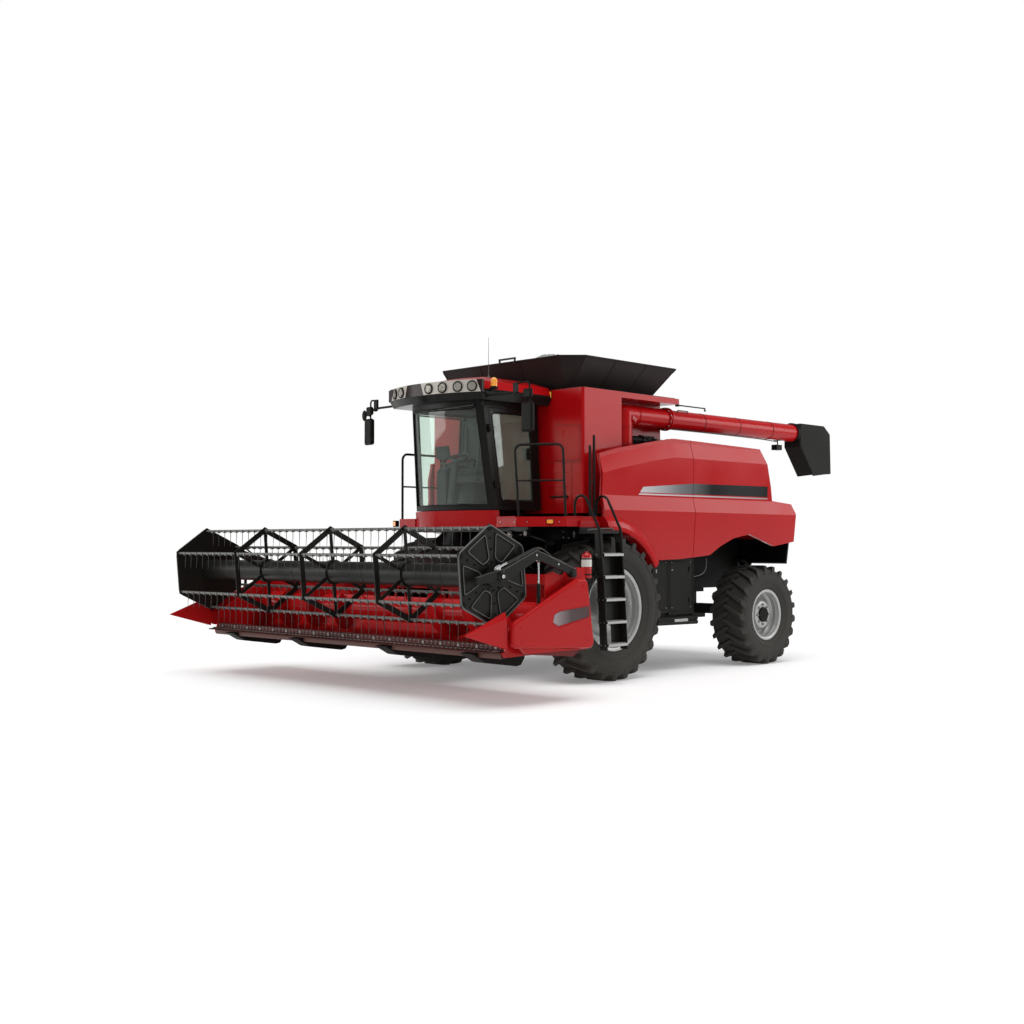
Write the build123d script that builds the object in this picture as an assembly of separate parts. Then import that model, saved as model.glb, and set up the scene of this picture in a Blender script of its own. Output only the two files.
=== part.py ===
from build123d import *
import os
from math import asin, cos, degrees, hypot, radians, sin

# Combine harvester with a six metre grain header.
# Millimetres. X towards the machine's left (the ladder side), Y towards its rear, Z up from the ground.
# The parts are drawn about the front axle (Y = 0), then moved to the middle of the machine's length.

# Fits
run_gap = 0.05          # radial clearance of a shaft in its bearing
seat_gap = 0.3          # between a piece and what it is fastened to
swing_gap = 8           # between a moving panel and what it passes
sheet = 30              # pressed and welded sheet walls, as modelled

# Front wheels
front_tyre_r = 955
front_tyre_w = 615
front_rim_r = 533
front_track = 3240
front_hub_r = 150
# Rear wheels
wheelbase = 3512
rear_tyre_r = 745
rear_tyre_w = 590
rear_rim_r = 356
rear_track = 3330
rear_hub_r = 110
kingpin_x = 1180
kingpin_r = 32
rim_flange = 26
# Tyre cleats, and the flat facets that keep four tyres light
front_lugs = 25
rear_lugs = 21
lug_h = 46
lug_w = 64
lug_sweep = 205         # how far a cleat leans round the tyre between its two ends
tyre_sides = 24

# Body
body_half = 1790        # outer face of the side panels
panel_t = 50
panel_split_y = 1900
core_half = 780         # threshing body
rail_half = 620
rail_w = 120
rail_h = 180
rail_z = 1120

# Grain tank
tank_half = body_half - 290
tank_waist_half = tank_half - 350
tank_front_y = -200
tank_notch_y = 600
tank_rear_y = 1900
tank_top_z = 3920
tank_low_z = 2230
tank_wall = 40
flap_rise = 440
flap_t = 20

# Unloading tube
post_x = tank_waist_half + 180
post_y = 820
post_r = 140
post_low_z = 3060
tube_z = 3630
tube_end_y = 5290
tube_wall = 12
spout_reach = 810

# Cab
cab_low_z = 2270
cab_top_z = 3700
cab_low_half = 790
cab_top_half = 712
cab_low_y = -1146
cab_top_y = -1300
cab_rear_y = -270
cab_bow = 250
cab_wall = 60
roof_half = 935
roof_bow = 236
glass_t = 8
pillar_w = 75

# Platform and ladder
deck_z = 2170
deck_t = 130
deck_out_x = body_half - 90
deck_front_y = -1150
deck_rear_y = -115
rail_r = 17
ladder_y = -310
ladder_w = 400
step_rise = 290
step_count = 5

# Feeder house and header
lift_y = -520
lift_z = 1960
feeder_half = 690
feeder_front_y = -1780
header_half = 2900
header_back_y = -1800
knife_y = -3120
knife_z = 623
header_top_z = 1450
end_sheet_t = 25
shield_out_x = header_half + 155
shield_front_y = -3091
divider_tip = (header_half + 83, -3748, 841)
auger_y = -2300
auger_z = 975
auger_tube_r = 165
auger_flight_r = 300
auger_pitch = 640
guard_pitch = 76.2
guard_len = 110

# Reel
reel_y = -3207
reel_z = 1462
bar_circle_r = 533
bar_r = 17
bar_count = 6
reel_phase = -5
reel_half = header_half - 50
reel_tube_r = 135
reel_plate_t = 12
tine_pitch = 145
tine_len = 205
tine_w = 8
arm_x = header_half + 72
arm_w = 40
reel_cylinder_x = header_half + 26
arm_pivot = (-2050, 1480)
arm_peak = (-2650, 1700)
arm_tip = (-3570, 1418)
reel_rod_y = -2560
reel_foot_z = 1040

front_wheel_z = front_tyre_r
rear_wheel_z = rear_tyre_r


def mirrored(shape):
    return mirror(shape, about=Plane.YZ)


def both(shape):
    return [shape, mirrored(shape)]


def side_plate(points, x0, x1, corner=0):
    """A plate cut to an outline of (Y, Z) points, from x0 to x1, with rounded corners."""
    face = make_face(Polyline(*points, close=True))
    if corner:
        face = fillet(face.vertices(), corner)
    plane = Plane(origin=(x0, 0, 0), x_dir=(0, 1, 0), z_dir=(1, 0, 0))
    return extrude(plane * face, x1 - x0)


def plan_plate(points, z0, z1):
    """A plate cut to an outline of (X, Y) points, from z0 to z1."""
    return extrude(Plane.XY.offset(z0) * make_face(Polyline(*points, close=True)), z1 - z0)


def block(x0, x1, y0, y1, z0, z1):
    centre = ((x0 + x1) / 2, (y0 + y1) / 2, (z0 + z1) / 2)
    return Pos(*centre) * Box(abs(x1 - x0), abs(y1 - y0), abs(z1 - z0))


def rod(start, end, radius):
    """A round bar between two points."""
    a, b = Vector(*start), Vector(*end)
    return extrude(Plane(origin=a, z_dir=b - a) * Circle(radius), (b - a).length)


def cross_rod(x0, x1, y, z, radius):
    return rod((x0, y, z), (x1, y, z), radius)


def bent_tube(points, radius, bend):
    """A round tube through points, with bends of one radius."""
    path = FilletPolyline(*points, radius=bend)
    return sweep(Plane(origin=path @ 0, z_dir=path % 0) * Circle(radius), path=path)


def wheel_profile(points, x_mid, y, z):
    """A solid of revolution about a wheel's axle, from (offset along X, radius) points."""
    face = make_face(Polyline(*points, close=True))
    plane = Plane(origin=(x_mid, y, z), x_dir=(1, 0, 0), z_dir=(0, -1, 0))
    return revolve(plane * face, Axis((x_mid, y, z), (1, 0, 0)))


def faceted_ring(points, x_mid, y, z):
    """A ring about a wheel's axle in flat facets, from an outline of (offset along X, radius) points."""
    turns = [radians(360 * i / tyre_sides) for i in range(tyre_sides)]
    rings = [[(x_mid + dx, y + r * sin(t), z + r * cos(t)) for t in turns] for dx, r in points]
    facets = []
    for k, ring in enumerate(rings):
        after = rings[(k + 1) % len(rings)]
        for i in range(tyre_sides):
            j = (i + 1) % tyre_sides
            facets.append(make_face(Polyline(ring[i], ring[j], after[j], after[i], close=True)))
    return Solid(Shell(facets))


def tyre(radius, width, rim_r, lugs, x_mid, y, z):
    """A tyre with bulged walls and two rows of slanting cleats that meet in the middle of the tread."""
    half = width / 2
    tread_r = radius - lug_h
    bead = half * 0.80
    bore_r = rim_r / cos(radians(180 / tyre_sides))
    wall_r = rim_r + 0.55 * (tread_r - rim_r)
    outline = [(bead, bore_r), (bead, rim_r + rim_flange + 8), (half, wall_r), (half * 0.93, tread_r)]
    carcass = faceted_ring(outline + [(-dx, r) for dx, r in reversed(outline)], x_mid, y, z)
    inner, outer = -lug_w / 2, half * 0.915
    foot = tread_r - 34
    top = (radius ** 2 - (lug_sweep / 2 + lug_w / 2) ** 2) ** 0.5
    cleats = []
    for hand in (1, -1):
        plan = [(hand * inner, lug_sweep / 2 - lug_w / 2), (hand * inner, lug_sweep / 2 + lug_w / 2),
                (hand * outer, -lug_sweep / 2 + lug_w / 2), (hand * outer, -lug_sweep / 2 - lug_w / 2)]
        cleat = extrude(Plane.XY.offset(foot) * make_face(Polyline(*plan, close=True)), top - foot)
        first = 180 / lugs if hand < 0 else 0
        cleats += [Pos(x_mid, y, z) * Rot(first + i * 360 / lugs, 0, 0) * cleat for i in range(lugs)]
    return carcass + cleats


def rim(rim_r, width, hub_r, disc_x, side, x_mid, y, z):
    """A steel rim: flanges, drop centre, and a dished disc bored for the axle hub."""
    half = width / 2 * 0.80
    t = 14
    lip = rim_flange
    seat_r = rim_r - seat_gap
    points = [
        (-half - 12, seat_r + lip), (-half - 1, seat_r + lip), (-half - 1, seat_r), (-half * 0.5, seat_r),
        (-half * 0.3, rim_r - 45), (half * 0.3, rim_r - 45), (half * 0.5, seat_r), (half + 1, seat_r),
        (half + 1, seat_r + lip), (half + 12, seat_r + lip), (half + 12, rim_r - t - 6),
        (half * 0.52, rim_r - t - 6), (half * 0.32, rim_r - 45 - t), (-half * 0.32, rim_r - 45 - t),
        (-half * 0.52, rim_r - t - 6), (-half - 12, rim_r - t - 6),
    ]
    barrel = wheel_profile(points, x_mid, y, z)
    d = disc_x
    r_bar = rim_r - 45 - t + 4
    bore = hub_r + run_gap
    # x runs outwards from the wheel's middle; the disc stands on the drop centre
    dish = [
        (d - 9, bore), (d + 9, bore), (d + 9, hub_r * 1.75), (half * 0.25 + 9, r_bar * 0.78),
        (half * 0.25 + 9, r_bar), (half * 0.25 - 9, r_bar), (half * 0.25 - 9, r_bar * 0.78),
        (d - 9, hub_r * 1.75),
    ]
    dish = [(side * px, pr) for px, pr in dish]
    return barrel + wheel_profile(dish, x_mid, y, z)


# Wheels
def wheel_set(name, radius, width, rim_r, hub_r, lugs, track, y, z):
    parts = {}
    for side_name, side in (("left", 1), ("right", -1)):
        x = side * track / 2
        parts[f"{name}_tyre_{side_name}"] = tyre(radius, width, rim_r, lugs, x, y, z)
        parts[f"{name}_rim_{side_name}"] = rim(rim_r, width, hub_r, width * 0.28, side, x, y, z)
    return parts


nodes = {}
nodes.update(wheel_set("front", front_tyre_r, front_tyre_w, front_rim_r, front_hub_r, front_lugs, front_track,
                       0, front_wheel_z))
nodes.update(wheel_set("rear", rear_tyre_r, rear_tyre_w, rear_rim_r, rear_hub_r, rear_lugs, rear_track,
                       wheelbase, rear_wheel_z))

# Front axle: cross beam, gearbox and final drives, each ending in the hub that the rim turns on
front_hub_end = front_track / 2 + front_tyre_w * 0.28 + 40
front_inner = front_track / 2 - front_tyre_w / 2
front_axle = block(-front_inner + 130, front_inner - 130, -130, 130, front_wheel_z - 90, front_wheel_z + 155)
front_axle += block(-260, 260, -190, 210, front_wheel_z - 190, front_wheel_z + 120)
for side in (1, -1):
    front_axle += cross_rod(side * (front_inner - 200), side * (front_inner + 90), 0, front_wheel_z, 250)
    front_axle += cross_rod(side * (front_inner + 80), side * front_hub_end, 0, front_wheel_z, front_hub_r)
    for brace_y in (-150, 90):
        front_axle += block(side * (rail_half - 55), side * (rail_half + 55), brace_y, brace_y + 60,
                            front_wheel_z + 60, rail_z - seat_gap)
# Lift cylinder feet on the axle
lift_foot = (-260, 730)
lift_x = 430
foot_r = 24
foot_half = 58
for side in (1, -1):
    for ear in (-1, 1):
        x0 = side * lift_x + ear * (foot_half + 2)
        ear_plate = side_plate([(-100, front_wheel_z), (-330, lift_foot[1] + 50), (-330, lift_foot[1] - 50),
                                (-220, lift_foot[1] - 60), (-60, front_wheel_z - 88)], x0, x0 + ear * 18)
        front_axle += ear_plate
    front_axle += cross_rod(side * lift_x - foot_half - 20, side * lift_x + foot_half + 20,
                            *lift_foot, foot_r)
nodes["front_axle"] = front_axle

# Main frame: rails under the body, cross members, rear axle saddle and drawbar
frame_front_y = -380
frame_rear_y = wheelbase + 738
main_frame = block(rail_half - rail_w / 2, rail_half + rail_w / 2, frame_front_y, frame_rear_y,
                   rail_z, rail_z + rail_h)
main_frame += mirrored(main_frame)
for cross_y in (frame_front_y, 1000, 2300, wheelbase - 60, frame_rear_y - 120):
    main_frame += block(-rail_half, rail_half, cross_y, cross_y + 120, rail_z + 20, rail_z + rail_h - 20)
hitch_z = 620
hitch_y = frame_rear_y + 170
hitch_pin_r = 16
drawbar = side_plate([(frame_rear_y - 120, rail_z + 60), (frame_rear_y, rail_z + 60), (frame_rear_y, 700),
                      (hitch_y + 70, 700), (hitch_y + 70, hitch_z - 20), (frame_rear_y - 120, hitch_z - 20)],
                     -50, 50)
drawbar -= rod((0, hitch_y, hitch_z - 60), (0, hitch_y, 760), hitch_pin_r)
main_frame += drawbar
# Rear axle saddle
saddle_half = 110
main_frame += block(-rail_half, rail_half, wheelbase - 160, wheelbase + 160, rail_z - 60, rail_z + 60)
for ear_y in (wheelbase - 150, wheelbase + 110):
    main_frame += block(-150, 150, ear_y, ear_y + 40, rear_wheel_z - 20, rail_z + 30)
nodes["main_frame"] = main_frame

# Rear axle beam, held by a pin in the saddle, with a kingpin bore at each end
beam_h = 150
beam_w = 170
king_boss_r = 75
king_h = 190
rear_axle = block(-kingpin_x, kingpin_x, wheelbase - beam_w / 2, wheelbase + beam_w / 2,
                  rear_wheel_z - beam_h / 2 + 60, rear_wheel_z + beam_h / 2 + 60)
rear_axle += rod((0, wheelbase - 110, rear_wheel_z + 60), (0, wheelbase + 110, rear_wheel_z + 60), 90)
for side in (1, -1):
    king_axis = ((side * kingpin_x, wheelbase, rear_wheel_z - king_h / 2 + 60),
                 (side * kingpin_x, wheelbase, rear_wheel_z + king_h / 2 + 60))
    rear_axle += rod(*king_axis, king_boss_r)
    rear_axle -= rod(*king_axis, kingpin_r + run_gap)
nodes["rear_axle"] = rear_axle

# Knuckles: forks round the beam ends, a kingpin each, and the spindle for the rim
rear_hub_end = rear_track / 2 + rear_tyre_w * 0.28 + 35
king_low = rear_wheel_z + 60 - king_h / 2
king_high = rear_wheel_z + 60 + king_h / 2
for side_name, side in (("left", 1), ("right", -1)):
    x = side * kingpin_x
    knuckle = rod((x, wheelbase, king_low - 45), (x, wheelbase, king_high + 45), kingpin_r)
    for z0 in (king_low - 45, king_high + 5):
        knuckle += block(x - side * 60, x + side * 170, wheelbase - 70, wheelbase + 70, z0, z0 + 40)
    knuckle += block(x + side * 115, x + side * 175, wheelbase - 85, wheelbase + 85,
                     king_low - 45, king_high + 45)
    knuckle += cross_rod(x + side * 170, side * rear_hub_end, wheelbase, rear_wheel_z, rear_hub_r)
    knuckle += block(x - side * 40, x + side * 40, wheelbase + 60, wheelbase + 230,
                     king_low - 45, king_low - 5)
    nodes[f"knuckle_{side_name}"] = knuckle

# Threshing body: the closed core between the rails and the tank, with the outriggers that carry the panels
rail_top_z = rail_z + rail_h + seat_gap
engine_bed_z = 2230
core_rear_y = wheelbase + 868
bed_z = tank_low_z - seat_gap
core_points = [(-440, rail_top_z), (-440, 2030), (tank_front_y, 2030), (tank_front_y, bed_z),
               (tank_notch_y, bed_z), (1150, 2900 - seat_gap), (tank_rear_y, 3100 - seat_gap),
               (tank_rear_y + 60, engine_bed_z),
               (core_rear_y - 280, engine_bed_z), (core_rear_y, 2100), (core_rear_y, rail_top_z)]
threshing_body = side_plate(core_points, -core_half, core_half)
belly_half = rail_half - rail_w / 2 - 15
belly_points = [(1150, 1105), (1400, 960), (2000, 960), (2270, 1105), (2270, 1500), (1150, 1500)]
threshing_body += side_plate(belly_points, -belly_half, belly_half)


belt_z = 2270           # the crease where the side panels are widest
skirt_z = 1500


def panel_x(z):
    """The outer face of the side panels at a height below their belt."""
    return body_half - 60 * (belt_z - z) / (belt_z - skirt_z)


outrigger_z = 1860
outrigger_ys = (980, 1780, 2320, wheelbase + 388)
for out_y in outrigger_ys:
    reach = panel_x(outrigger_z - 30) - panel_t - (seat_gap if out_y < panel_split_y else 30)
    threshing_body += block(-reach, reach, out_y, out_y + 60, outrigger_z - 30, outrigger_z + 30)
nodes["threshing_body"] = threshing_body

# Engine: one plain block behind the tank, on the core
nodes["engine_block"] = block(-650, 400, 2150, 3350, engine_bed_z + seat_gap, 2990)

# Service boxes under the left and right side, behind the front wheels
box_front_y = 1130
nodes["service_boxes"] = Part() + [
    b for side in (1, -1) for b in (
        block(side * 950, side * 1560, box_front_y, 1560, 830, 1640),
        block(side * 1000, side * 1540, 1590, 2180, 800, 1600),
        block(side * 900, side * 1600, box_front_y - 20, 2200, 730, 770),
        block(side * 960, side * 1500, box_front_y + 60, 2120, 768, 832),
        block(side * 960, side * 1400, 1550, 1600, 900, 1500),
        block(side * (rail_half + rail_w / 2 + seat_gap), side * 1000, 1250, 1330, 1150, 1280),
        block(side * (rail_half + rail_w / 2 + seat_gap), side * 1050, 1900, 1980, 1150, 1280),
    )]

# Grain tank: full width and deep behind the cab, narrower behind the notch that the unloading tube lies in
tank_points = [(tank_front_y, tank_low_z), (tank_front_y, tank_top_z), (tank_rear_y, tank_top_z),
               (tank_rear_y, 3100), (1150, 2900), (tank_notch_y, tank_low_z)]
w = tank_wall
hollow_points = [(tank_front_y + w, tank_low_z + w), (tank_front_y + w, tank_top_z + 50),
                 (tank_rear_y - w, tank_top_z + 50), (tank_rear_y - w, 3100 + w), (1150 - w, 2900 + w),
                 (tank_notch_y - w, tank_low_z + w)]
tank = side_plate(tank_points, -tank_half, tank_half)
tank = fillet(tank.edges().filter_by(Axis.Z).group_by(Axis.Y)[0], 32)
tank -= side_plate(hollow_points, -tank_half + w, tank_half - w)
notch = block(tank_waist_half, tank_half + 100, tank_notch_y, tank_rear_y + 10, 2000, tank_top_z - 80)
tank -= notch
tank += block(tank_waist_half - w, tank_waist_half, tank_notch_y - w, tank_rear_y, 2900, tank_top_z) \
    & side_plate(tank_points, 0, tank_half)
tank += block(tank_waist_half - w, tank_half, tank_notch_y - w, tank_notch_y, tank_low_z, tank_top_z)
tank += block(tank_waist_half - w, tank_half, tank_notch_y - w, tank_rear_y,
              tank_top_z - 80, tank_top_z - 80 + w)
nodes["grain_tank"] = tank


# Tank extension: four flared flaps with clipped corners
def flap_ring(x, y0, y1, z, clip):
    return Plane.XY.offset(z) * make_face(Polyline(
        (-x + clip, y0), (x - clip, y0), (x, y0 + clip), (x, y1 - clip), (x - clip, y1),
        (-x + clip, y1), (-x, y1 - clip), (-x, y0 + clip), close=True))


flap_low_z = tank_top_z + seat_gap
flap_top_z = tank_top_z + flap_rise
outer_flaps = loft([flap_ring(1120, -60, 1700, flap_low_z, 40), flap_ring(1420, -310, 2180, flap_top_z, 260)])
inner_flaps = loft([flap_ring(1120 - flap_t * 2, -60 + flap_t * 2, 1700 - flap_t * 2, flap_low_z, 40),
                    flap_ring(1420 - flap_t, -310 + flap_t, 2180 - flap_t, flap_top_z, 260)])
tank_rim = block(-1460, 1460, tank_front_y + w, tank_rear_y - w, flap_low_z, flap_low_z + 12)
tank_rim -= block(-1120 + 60, 1120 - 60, 0, 1640, flap_low_z - 1, flap_low_z + 20)
nodes["tank_extension"] = outer_flaps - inner_flaps + tank_rim

# Rising auger in the middle of the tank, with its domed cap
rise_y = 780
rising_auger = rod((0, rise_y, tank_low_z + w), (0, rise_y, 4360), 110)
rising_auger += Pos(0, rise_y, 4360) * scale(Sphere(160), by=(1, 1, 0.75))
floor_z = tank_low_z + w + seat_gap
above_floor = [(tank_front_y + w, floor_z), (tank_front_y + w, 5000), (tank_rear_y, 5000),
               (tank_rear_y, 3100 + w + seat_gap), (1150 - w, 2900 + w + seat_gap),
               (tank_notch_y - w, floor_z)]
rising_auger = rising_auger & side_plate(above_floor, -300, 300)
nodes["rising_auger"] = rising_auger

# Side panels: cut from one skin that leans back above its ridge, hollows to the stripe and flares to
# the belt. The ridge runs level over the rear and bends down towards the front.
panel_in_x = body_half - 290
panel_low_z, panel_high_z = 1400, 3400
ridge_line = [(-195, 2740), (320, 2850), (1030, 2980), (1500, 3040), (wheelbase + 1100, 3040)]


def panel_section(y, ridge_z, inset, x_in):
    form = [(90, panel_high_z), (90, ridge_z + 210), (30, ridge_z), (48, 2470), (0, belt_z), (60, skirt_z),
            (60, panel_low_z)]
    outline = [(x_in, panel_high_z)] + [(body_half - inset - dx, z) for dx, z in form] + [(x_in, panel_low_z)]
    plane = Plane(origin=(0, y, 0), x_dir=(1, 0, 0), z_dir=(0, -1, 0))
    return plane * make_face(Polyline(*outline, close=True))


def panel_body(inset, x_in):
    return loft([panel_section(y, ridge_z, inset, x_in) for y, ridge_z in ridge_line], ruled=True)


panel_pivot = (body_half - 178, 3245)
panel_pin_r = 12
pin_ys = (panel_split_y + 250, wheelbase - 62)
arch_r = 1035           # opening over the front wheel
fender_r = 1228         # top of the swelling round it
fender_low = 31
fender_high = 94.8


def fender_point(angle, radius):
    return (radius * cos(radians(angle)), front_wheel_z + radius * sin(radians(angle)))


panel_front_y = -95
split_y = panel_split_y - 5
front_outline = [(panel_front_y, 3020), (320, 3120), (1030, 3240), (1500, 3310), (split_y, 3305),
                 (split_y, 1620), (1630, 1600), fender_point(fender_low, fender_r),
                 fender_point(fender_low, arch_r - 20),
                 (0, front_wheel_z), (panel_front_y, front_wheel_z)]
# its rear edge and its arch over the rear wheel, measured from the rear axle
rear_edge = [(158, 3270), (268, 3040), (378, 2690), (418, 2480), (938, 2440), (1018, 2290), (998, 1850),
             (448, 1780), (188, 1850), (-222, 1960), (-632, 1900), (-962, 1780), (-1152, 1680), (-1222, 1650)]
rear_outline = ([(panel_split_y + 5, 3305)] + [(wheelbase + dy, z) for dy, z in rear_edge]
                + [(panel_split_y + 5, 1620)])
skin = panel_body(0, panel_in_x) - panel_body(panel_t, panel_in_x - 50)
panel_front = skin & side_plate(front_outline, panel_in_x - 100, body_half + 100)
# Swelling round the wheel arch, widest at its lower edge
fender_form = [(body_half - 110, arch_r), (body_half + 58, arch_r), (body_half + 72, arch_r + 14),
               (body_half + 70, arch_r + 60), (body_half + 44, arch_r + 130), (body_half - 6, fender_r),
               (body_half - 110, fender_r)]
fender = wheel_profile(fender_form, 0, 0, front_wheel_z)
fender_sector = [(0, front_wheel_z)] + [fender_point(a, fender_r * 1.4) for a in
                                        (fender_low, (fender_low + fender_high) / 2, fender_high)]
panel_front += fender & side_plate(fender_sector, body_half - 200, body_half + 100)
panel_front -= cross_rod(panel_in_x - 100, body_half + 100, 0, front_wheel_z, arch_r)
panel_rear = skin & side_plate(rear_outline, panel_in_x - 100, body_half + 100)
for y in pin_ys:
    px, pz = panel_pivot
    lug = block(px - 22, px + 45, y + 40, y + 80, pz - 22, pz + 22)
    panel_rear += lug - rod((px, y, pz), (px, y + 120, pz), panel_pin_r + run_gap)
nodes["side_panel_front_left"] = panel_front
nodes["side_panel_front_right"] = mirrored(panel_front)
nodes["side_panel_rear_left"] = panel_rear
nodes["side_panel_rear_right"] = mirrored(panel_rear)

# Deck over the engine, on posts from the engine bed, with the hinge pins of the lifting side panels
deck_half = body_half - 190
upper_z = 3060
upper_rear_y = wheelbase + 128
upper_front_y = tank_rear_y + 60
engine_deck = block(-deck_half, deck_half, upper_front_y, upper_rear_y, upper_z, upper_z + 40)
for side in (1, -1):
    engine_deck += block(side * (deck_half - 60), side * deck_half, upper_front_y, upper_rear_y,
                         upper_z - 600, upper_z + 5)
    for y in (upper_front_y + 50, upper_rear_y - 240):
        engine_deck += block(side * (core_half - 80), side * core_half, y, y + 80,
                             engine_bed_z + seat_gap, upper_z)
    for y in pin_ys:
        engine_deck += block(side * (deck_half - 60), side * (panel_pivot[0] + 22), y, y + 30,
                             upper_z, panel_pivot[1] + 22)
        engine_deck += rod((side * panel_pivot[0], y + 10, panel_pivot[1]),
                           (side * panel_pivot[0], y + 90, panel_pivot[1]), panel_pin_r)
air_box = (-1480, -900, 2300, 3300, upper_z, upper_z + 330)
engine_deck += block(*air_box)
louvre_pitch = 62
for i in range(int((air_box[3] - air_box[2] - 120) / louvre_pitch)):
    y = air_box[2] + 60 + i * louvre_pitch
    slot = block(air_box[0] - 5, air_box[0] + 25, y, y + louvre_pitch * 0.45, upper_z + 45, upper_z + 285)
    engine_deck -= slot
cleaner_z = upper_z + 40 + 165
# air cleaner with its intake, and the silencer with its pipe
engine_deck += rod((520, 2150, cleaner_z), (520, 2950, cleaner_z), 165)
engine_deck += rod((520, 2950, cleaner_z), (520, 3010, cleaner_z), 120)
engine_deck += rod((820, 2500, upper_z), (820, 2500, cleaner_z + 70), 60)
engine_deck += block(480, 830, 2460, 2540, cleaner_z - 50, cleaner_z + 50)
engine_deck += rod((-350, 2300, upper_z + 150), (-350, 3000, upper_z + 150), 130)
engine_deck += rod((-350, 2700, upper_z), (-350, 2700, upper_z + 420), 75)
nodes["engine_deck"] = engine_deck

# Rear hood between the panels: sloping back sheet, open below for the straw
hood_half = body_half - 112
hood_line = [(188, 3060), (418, 2480), (928, 2420), (1008, 2290), (988, 1850), (918, 1500), (888, 1510),
             (958, 1860), (978, 2280), (908, 2390), (393, 2450), (158, 3050)]
rear_hood = side_plate([(wheelbase + dy, z) for dy, z in hood_line], -hood_half, hood_half)
for side in (1, -1):
    rear_hood += block(side * 500, side * 560, core_rear_y + seat_gap, core_rear_y + 100, 1600, 1900)
    rear_hood += block(side * 700, side * 760, wheelbase + 448, wheelbase + 528,
                       engine_bed_z + seat_gap, 2470)
nodes["rear_hood"] = rear_hood

# Cab: lofted shell, bowed at the front, with its windows and doorway cut
def cab_plan(z, inset, grow=0):
    share = (z - cab_low_z) / (cab_top_z - cab_low_z)
    half = cab_low_half + share * (cab_top_half - cab_low_half) - inset
    front = cab_low_y + share * (cab_top_y - cab_low_y) + inset * 0.7
    rear = cab_rear_y - inset
    edge = Polyline((-half, front), (-half, rear), (half, rear), (half, front))
    bow = ThreePointArc((half, front), (0, front - cab_bow), (-half, front))
    return Plane.XY.offset(z) * make_face([edge, bow])


def cab_solid(inset, z0, z1):
    return loft([cab_plan(z0, inset), cab_plan(z1, inset)])


cab_shell = cab_solid(0, cab_low_z, cab_top_z) - cab_solid(cab_wall, cab_low_z + 50, cab_top_z + 1)
window_low_z = cab_low_z + 60
window_top_z = cab_top_z - 70
lean = (cab_top_y - cab_low_y) / (cab_top_z - cab_low_z)


def lean_y(y, z):
    """A Y at the cab's floor carried up along the leaning front pillar."""
    return y + lean * (z - cab_low_z)


pillar_rear_y = cab_low_y + pillar_w


def side_window(gap, x0, x1):
    rear_y = cab_rear_y - 90 - gap
    return side_plate([(lean_y(pillar_rear_y + gap, window_low_z), window_low_z + gap),
                       (lean_y(pillar_rear_y + gap, window_top_z), window_top_z - gap),
                       (rear_y, window_top_z - gap), (rear_y, window_low_z + gap)], x0, x1)


def front_window(gap):
    """A wedge ahead of the front pillars, leaning with them."""
    low = cab_low_half - pillar_w - gap
    top = cab_top_half - pillar_w - gap
    y_low = lean_y(cab_low_y + 60, window_low_z)
    y_top = lean_y(cab_low_y + 60, window_top_z)
    rings = []
    for half, y, z in ((low, y_low, window_low_z + gap), (top, y_top, window_top_z - gap)):
        rings.append(Plane.XY.offset(z) * make_face(Polyline((-half, y), (half, y), (half, y - 600),
                                                             (-half, y - 600), close=True)))
    return loft(rings)


cab_frame = cab_shell - front_window(0) - side_window(0, 500, 1000) - side_window(0, -1000, -500)
cab_frame += block(-560, 560, cab_low_y - 90, cab_rear_y - 80, cab_low_z - 140, cab_low_z + 5)


# Door hinges on the left front pillar, on an axis that leans with it
def hinge_at(z):
    share = (z - cab_low_z) / (cab_top_z - cab_low_z)
    return (cab_low_half + share * (cab_top_half - cab_low_half) + 22, lean_y(cab_low_y, z) + 48, z)


hinge_pin_r = 9
hinge_zs = (cab_low_z + 330, cab_low_z + 1080)
door_lugs = Part()
for z in hinge_zs:
    cab_frame += rod(hinge_at(z - 55), hinge_at(z + 55), hinge_pin_r)
    for z0 in (z - 55, z + 33):
        hx, hy, hz = hinge_at(z0 + 11)
        cab_frame += rod(hinge_at(z0), hinge_at(z0 + 22), 15)
        cab_frame += block(hx - 34, hx, hy - 14, hy + 8, z0 + 2, z0 + 20)
    hx, hy, hz = hinge_at(z)
    door_lugs += rod(hinge_at(z - 30), hinge_at(z + 30), 15)
    door_lugs += block(hx - 12, hx + 3, hy, hy + 80, z - 24, z + 24)
    door_lugs += block(hx - 34, hx + 3, hy + 46, hy + 80, z - 24, z + 24)
door_lugs -= rod(hinge_at(cab_low_z), hinge_at(cab_top_z), hinge_pin_r + run_gap)
nodes["cab_frame"] = cab_frame

glass_shell = cab_solid(14, cab_low_z + 10, cab_top_z - 10) - cab_solid(14 + glass_t, cab_low_z, cab_top_z)
nodes["windscreen"] = glass_shell & front_window(seat_gap)
nodes["side_window"] = glass_shell & side_window(seat_gap, -1000, -500)

# Cab door on the left, in a frame of its own round the pane
door_gap = swing_gap
door_blank = (cab_solid(0, cab_low_z + 1, cab_top_z - 1) - cab_solid(34, cab_low_z, cab_top_z)) \
    & side_window(door_gap, 500, 1000)
door_pane_hole = side_window(door_gap + 48, 500, 1000)
cab_door = door_blank - door_pane_hole + door_lugs
nodes["cab_door"] = cab_door
nodes["door_glass"] = glass_shell & side_window(door_gap + 48 + seat_gap, 500, 1000)

# Roof: dark underside lip, lamp band and red cap
roof_low_z = cab_top_z + seat_gap


def roof_plan(half, front, rear, bow, z):
    edge = Polyline((-half, front), (-half, rear), (half, rear), (half, front))
    arc = ThreePointArc((half, front), (0, front - bow), (-half, front))
    return Plane.XY.offset(z) * make_face([edge, arc])


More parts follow.
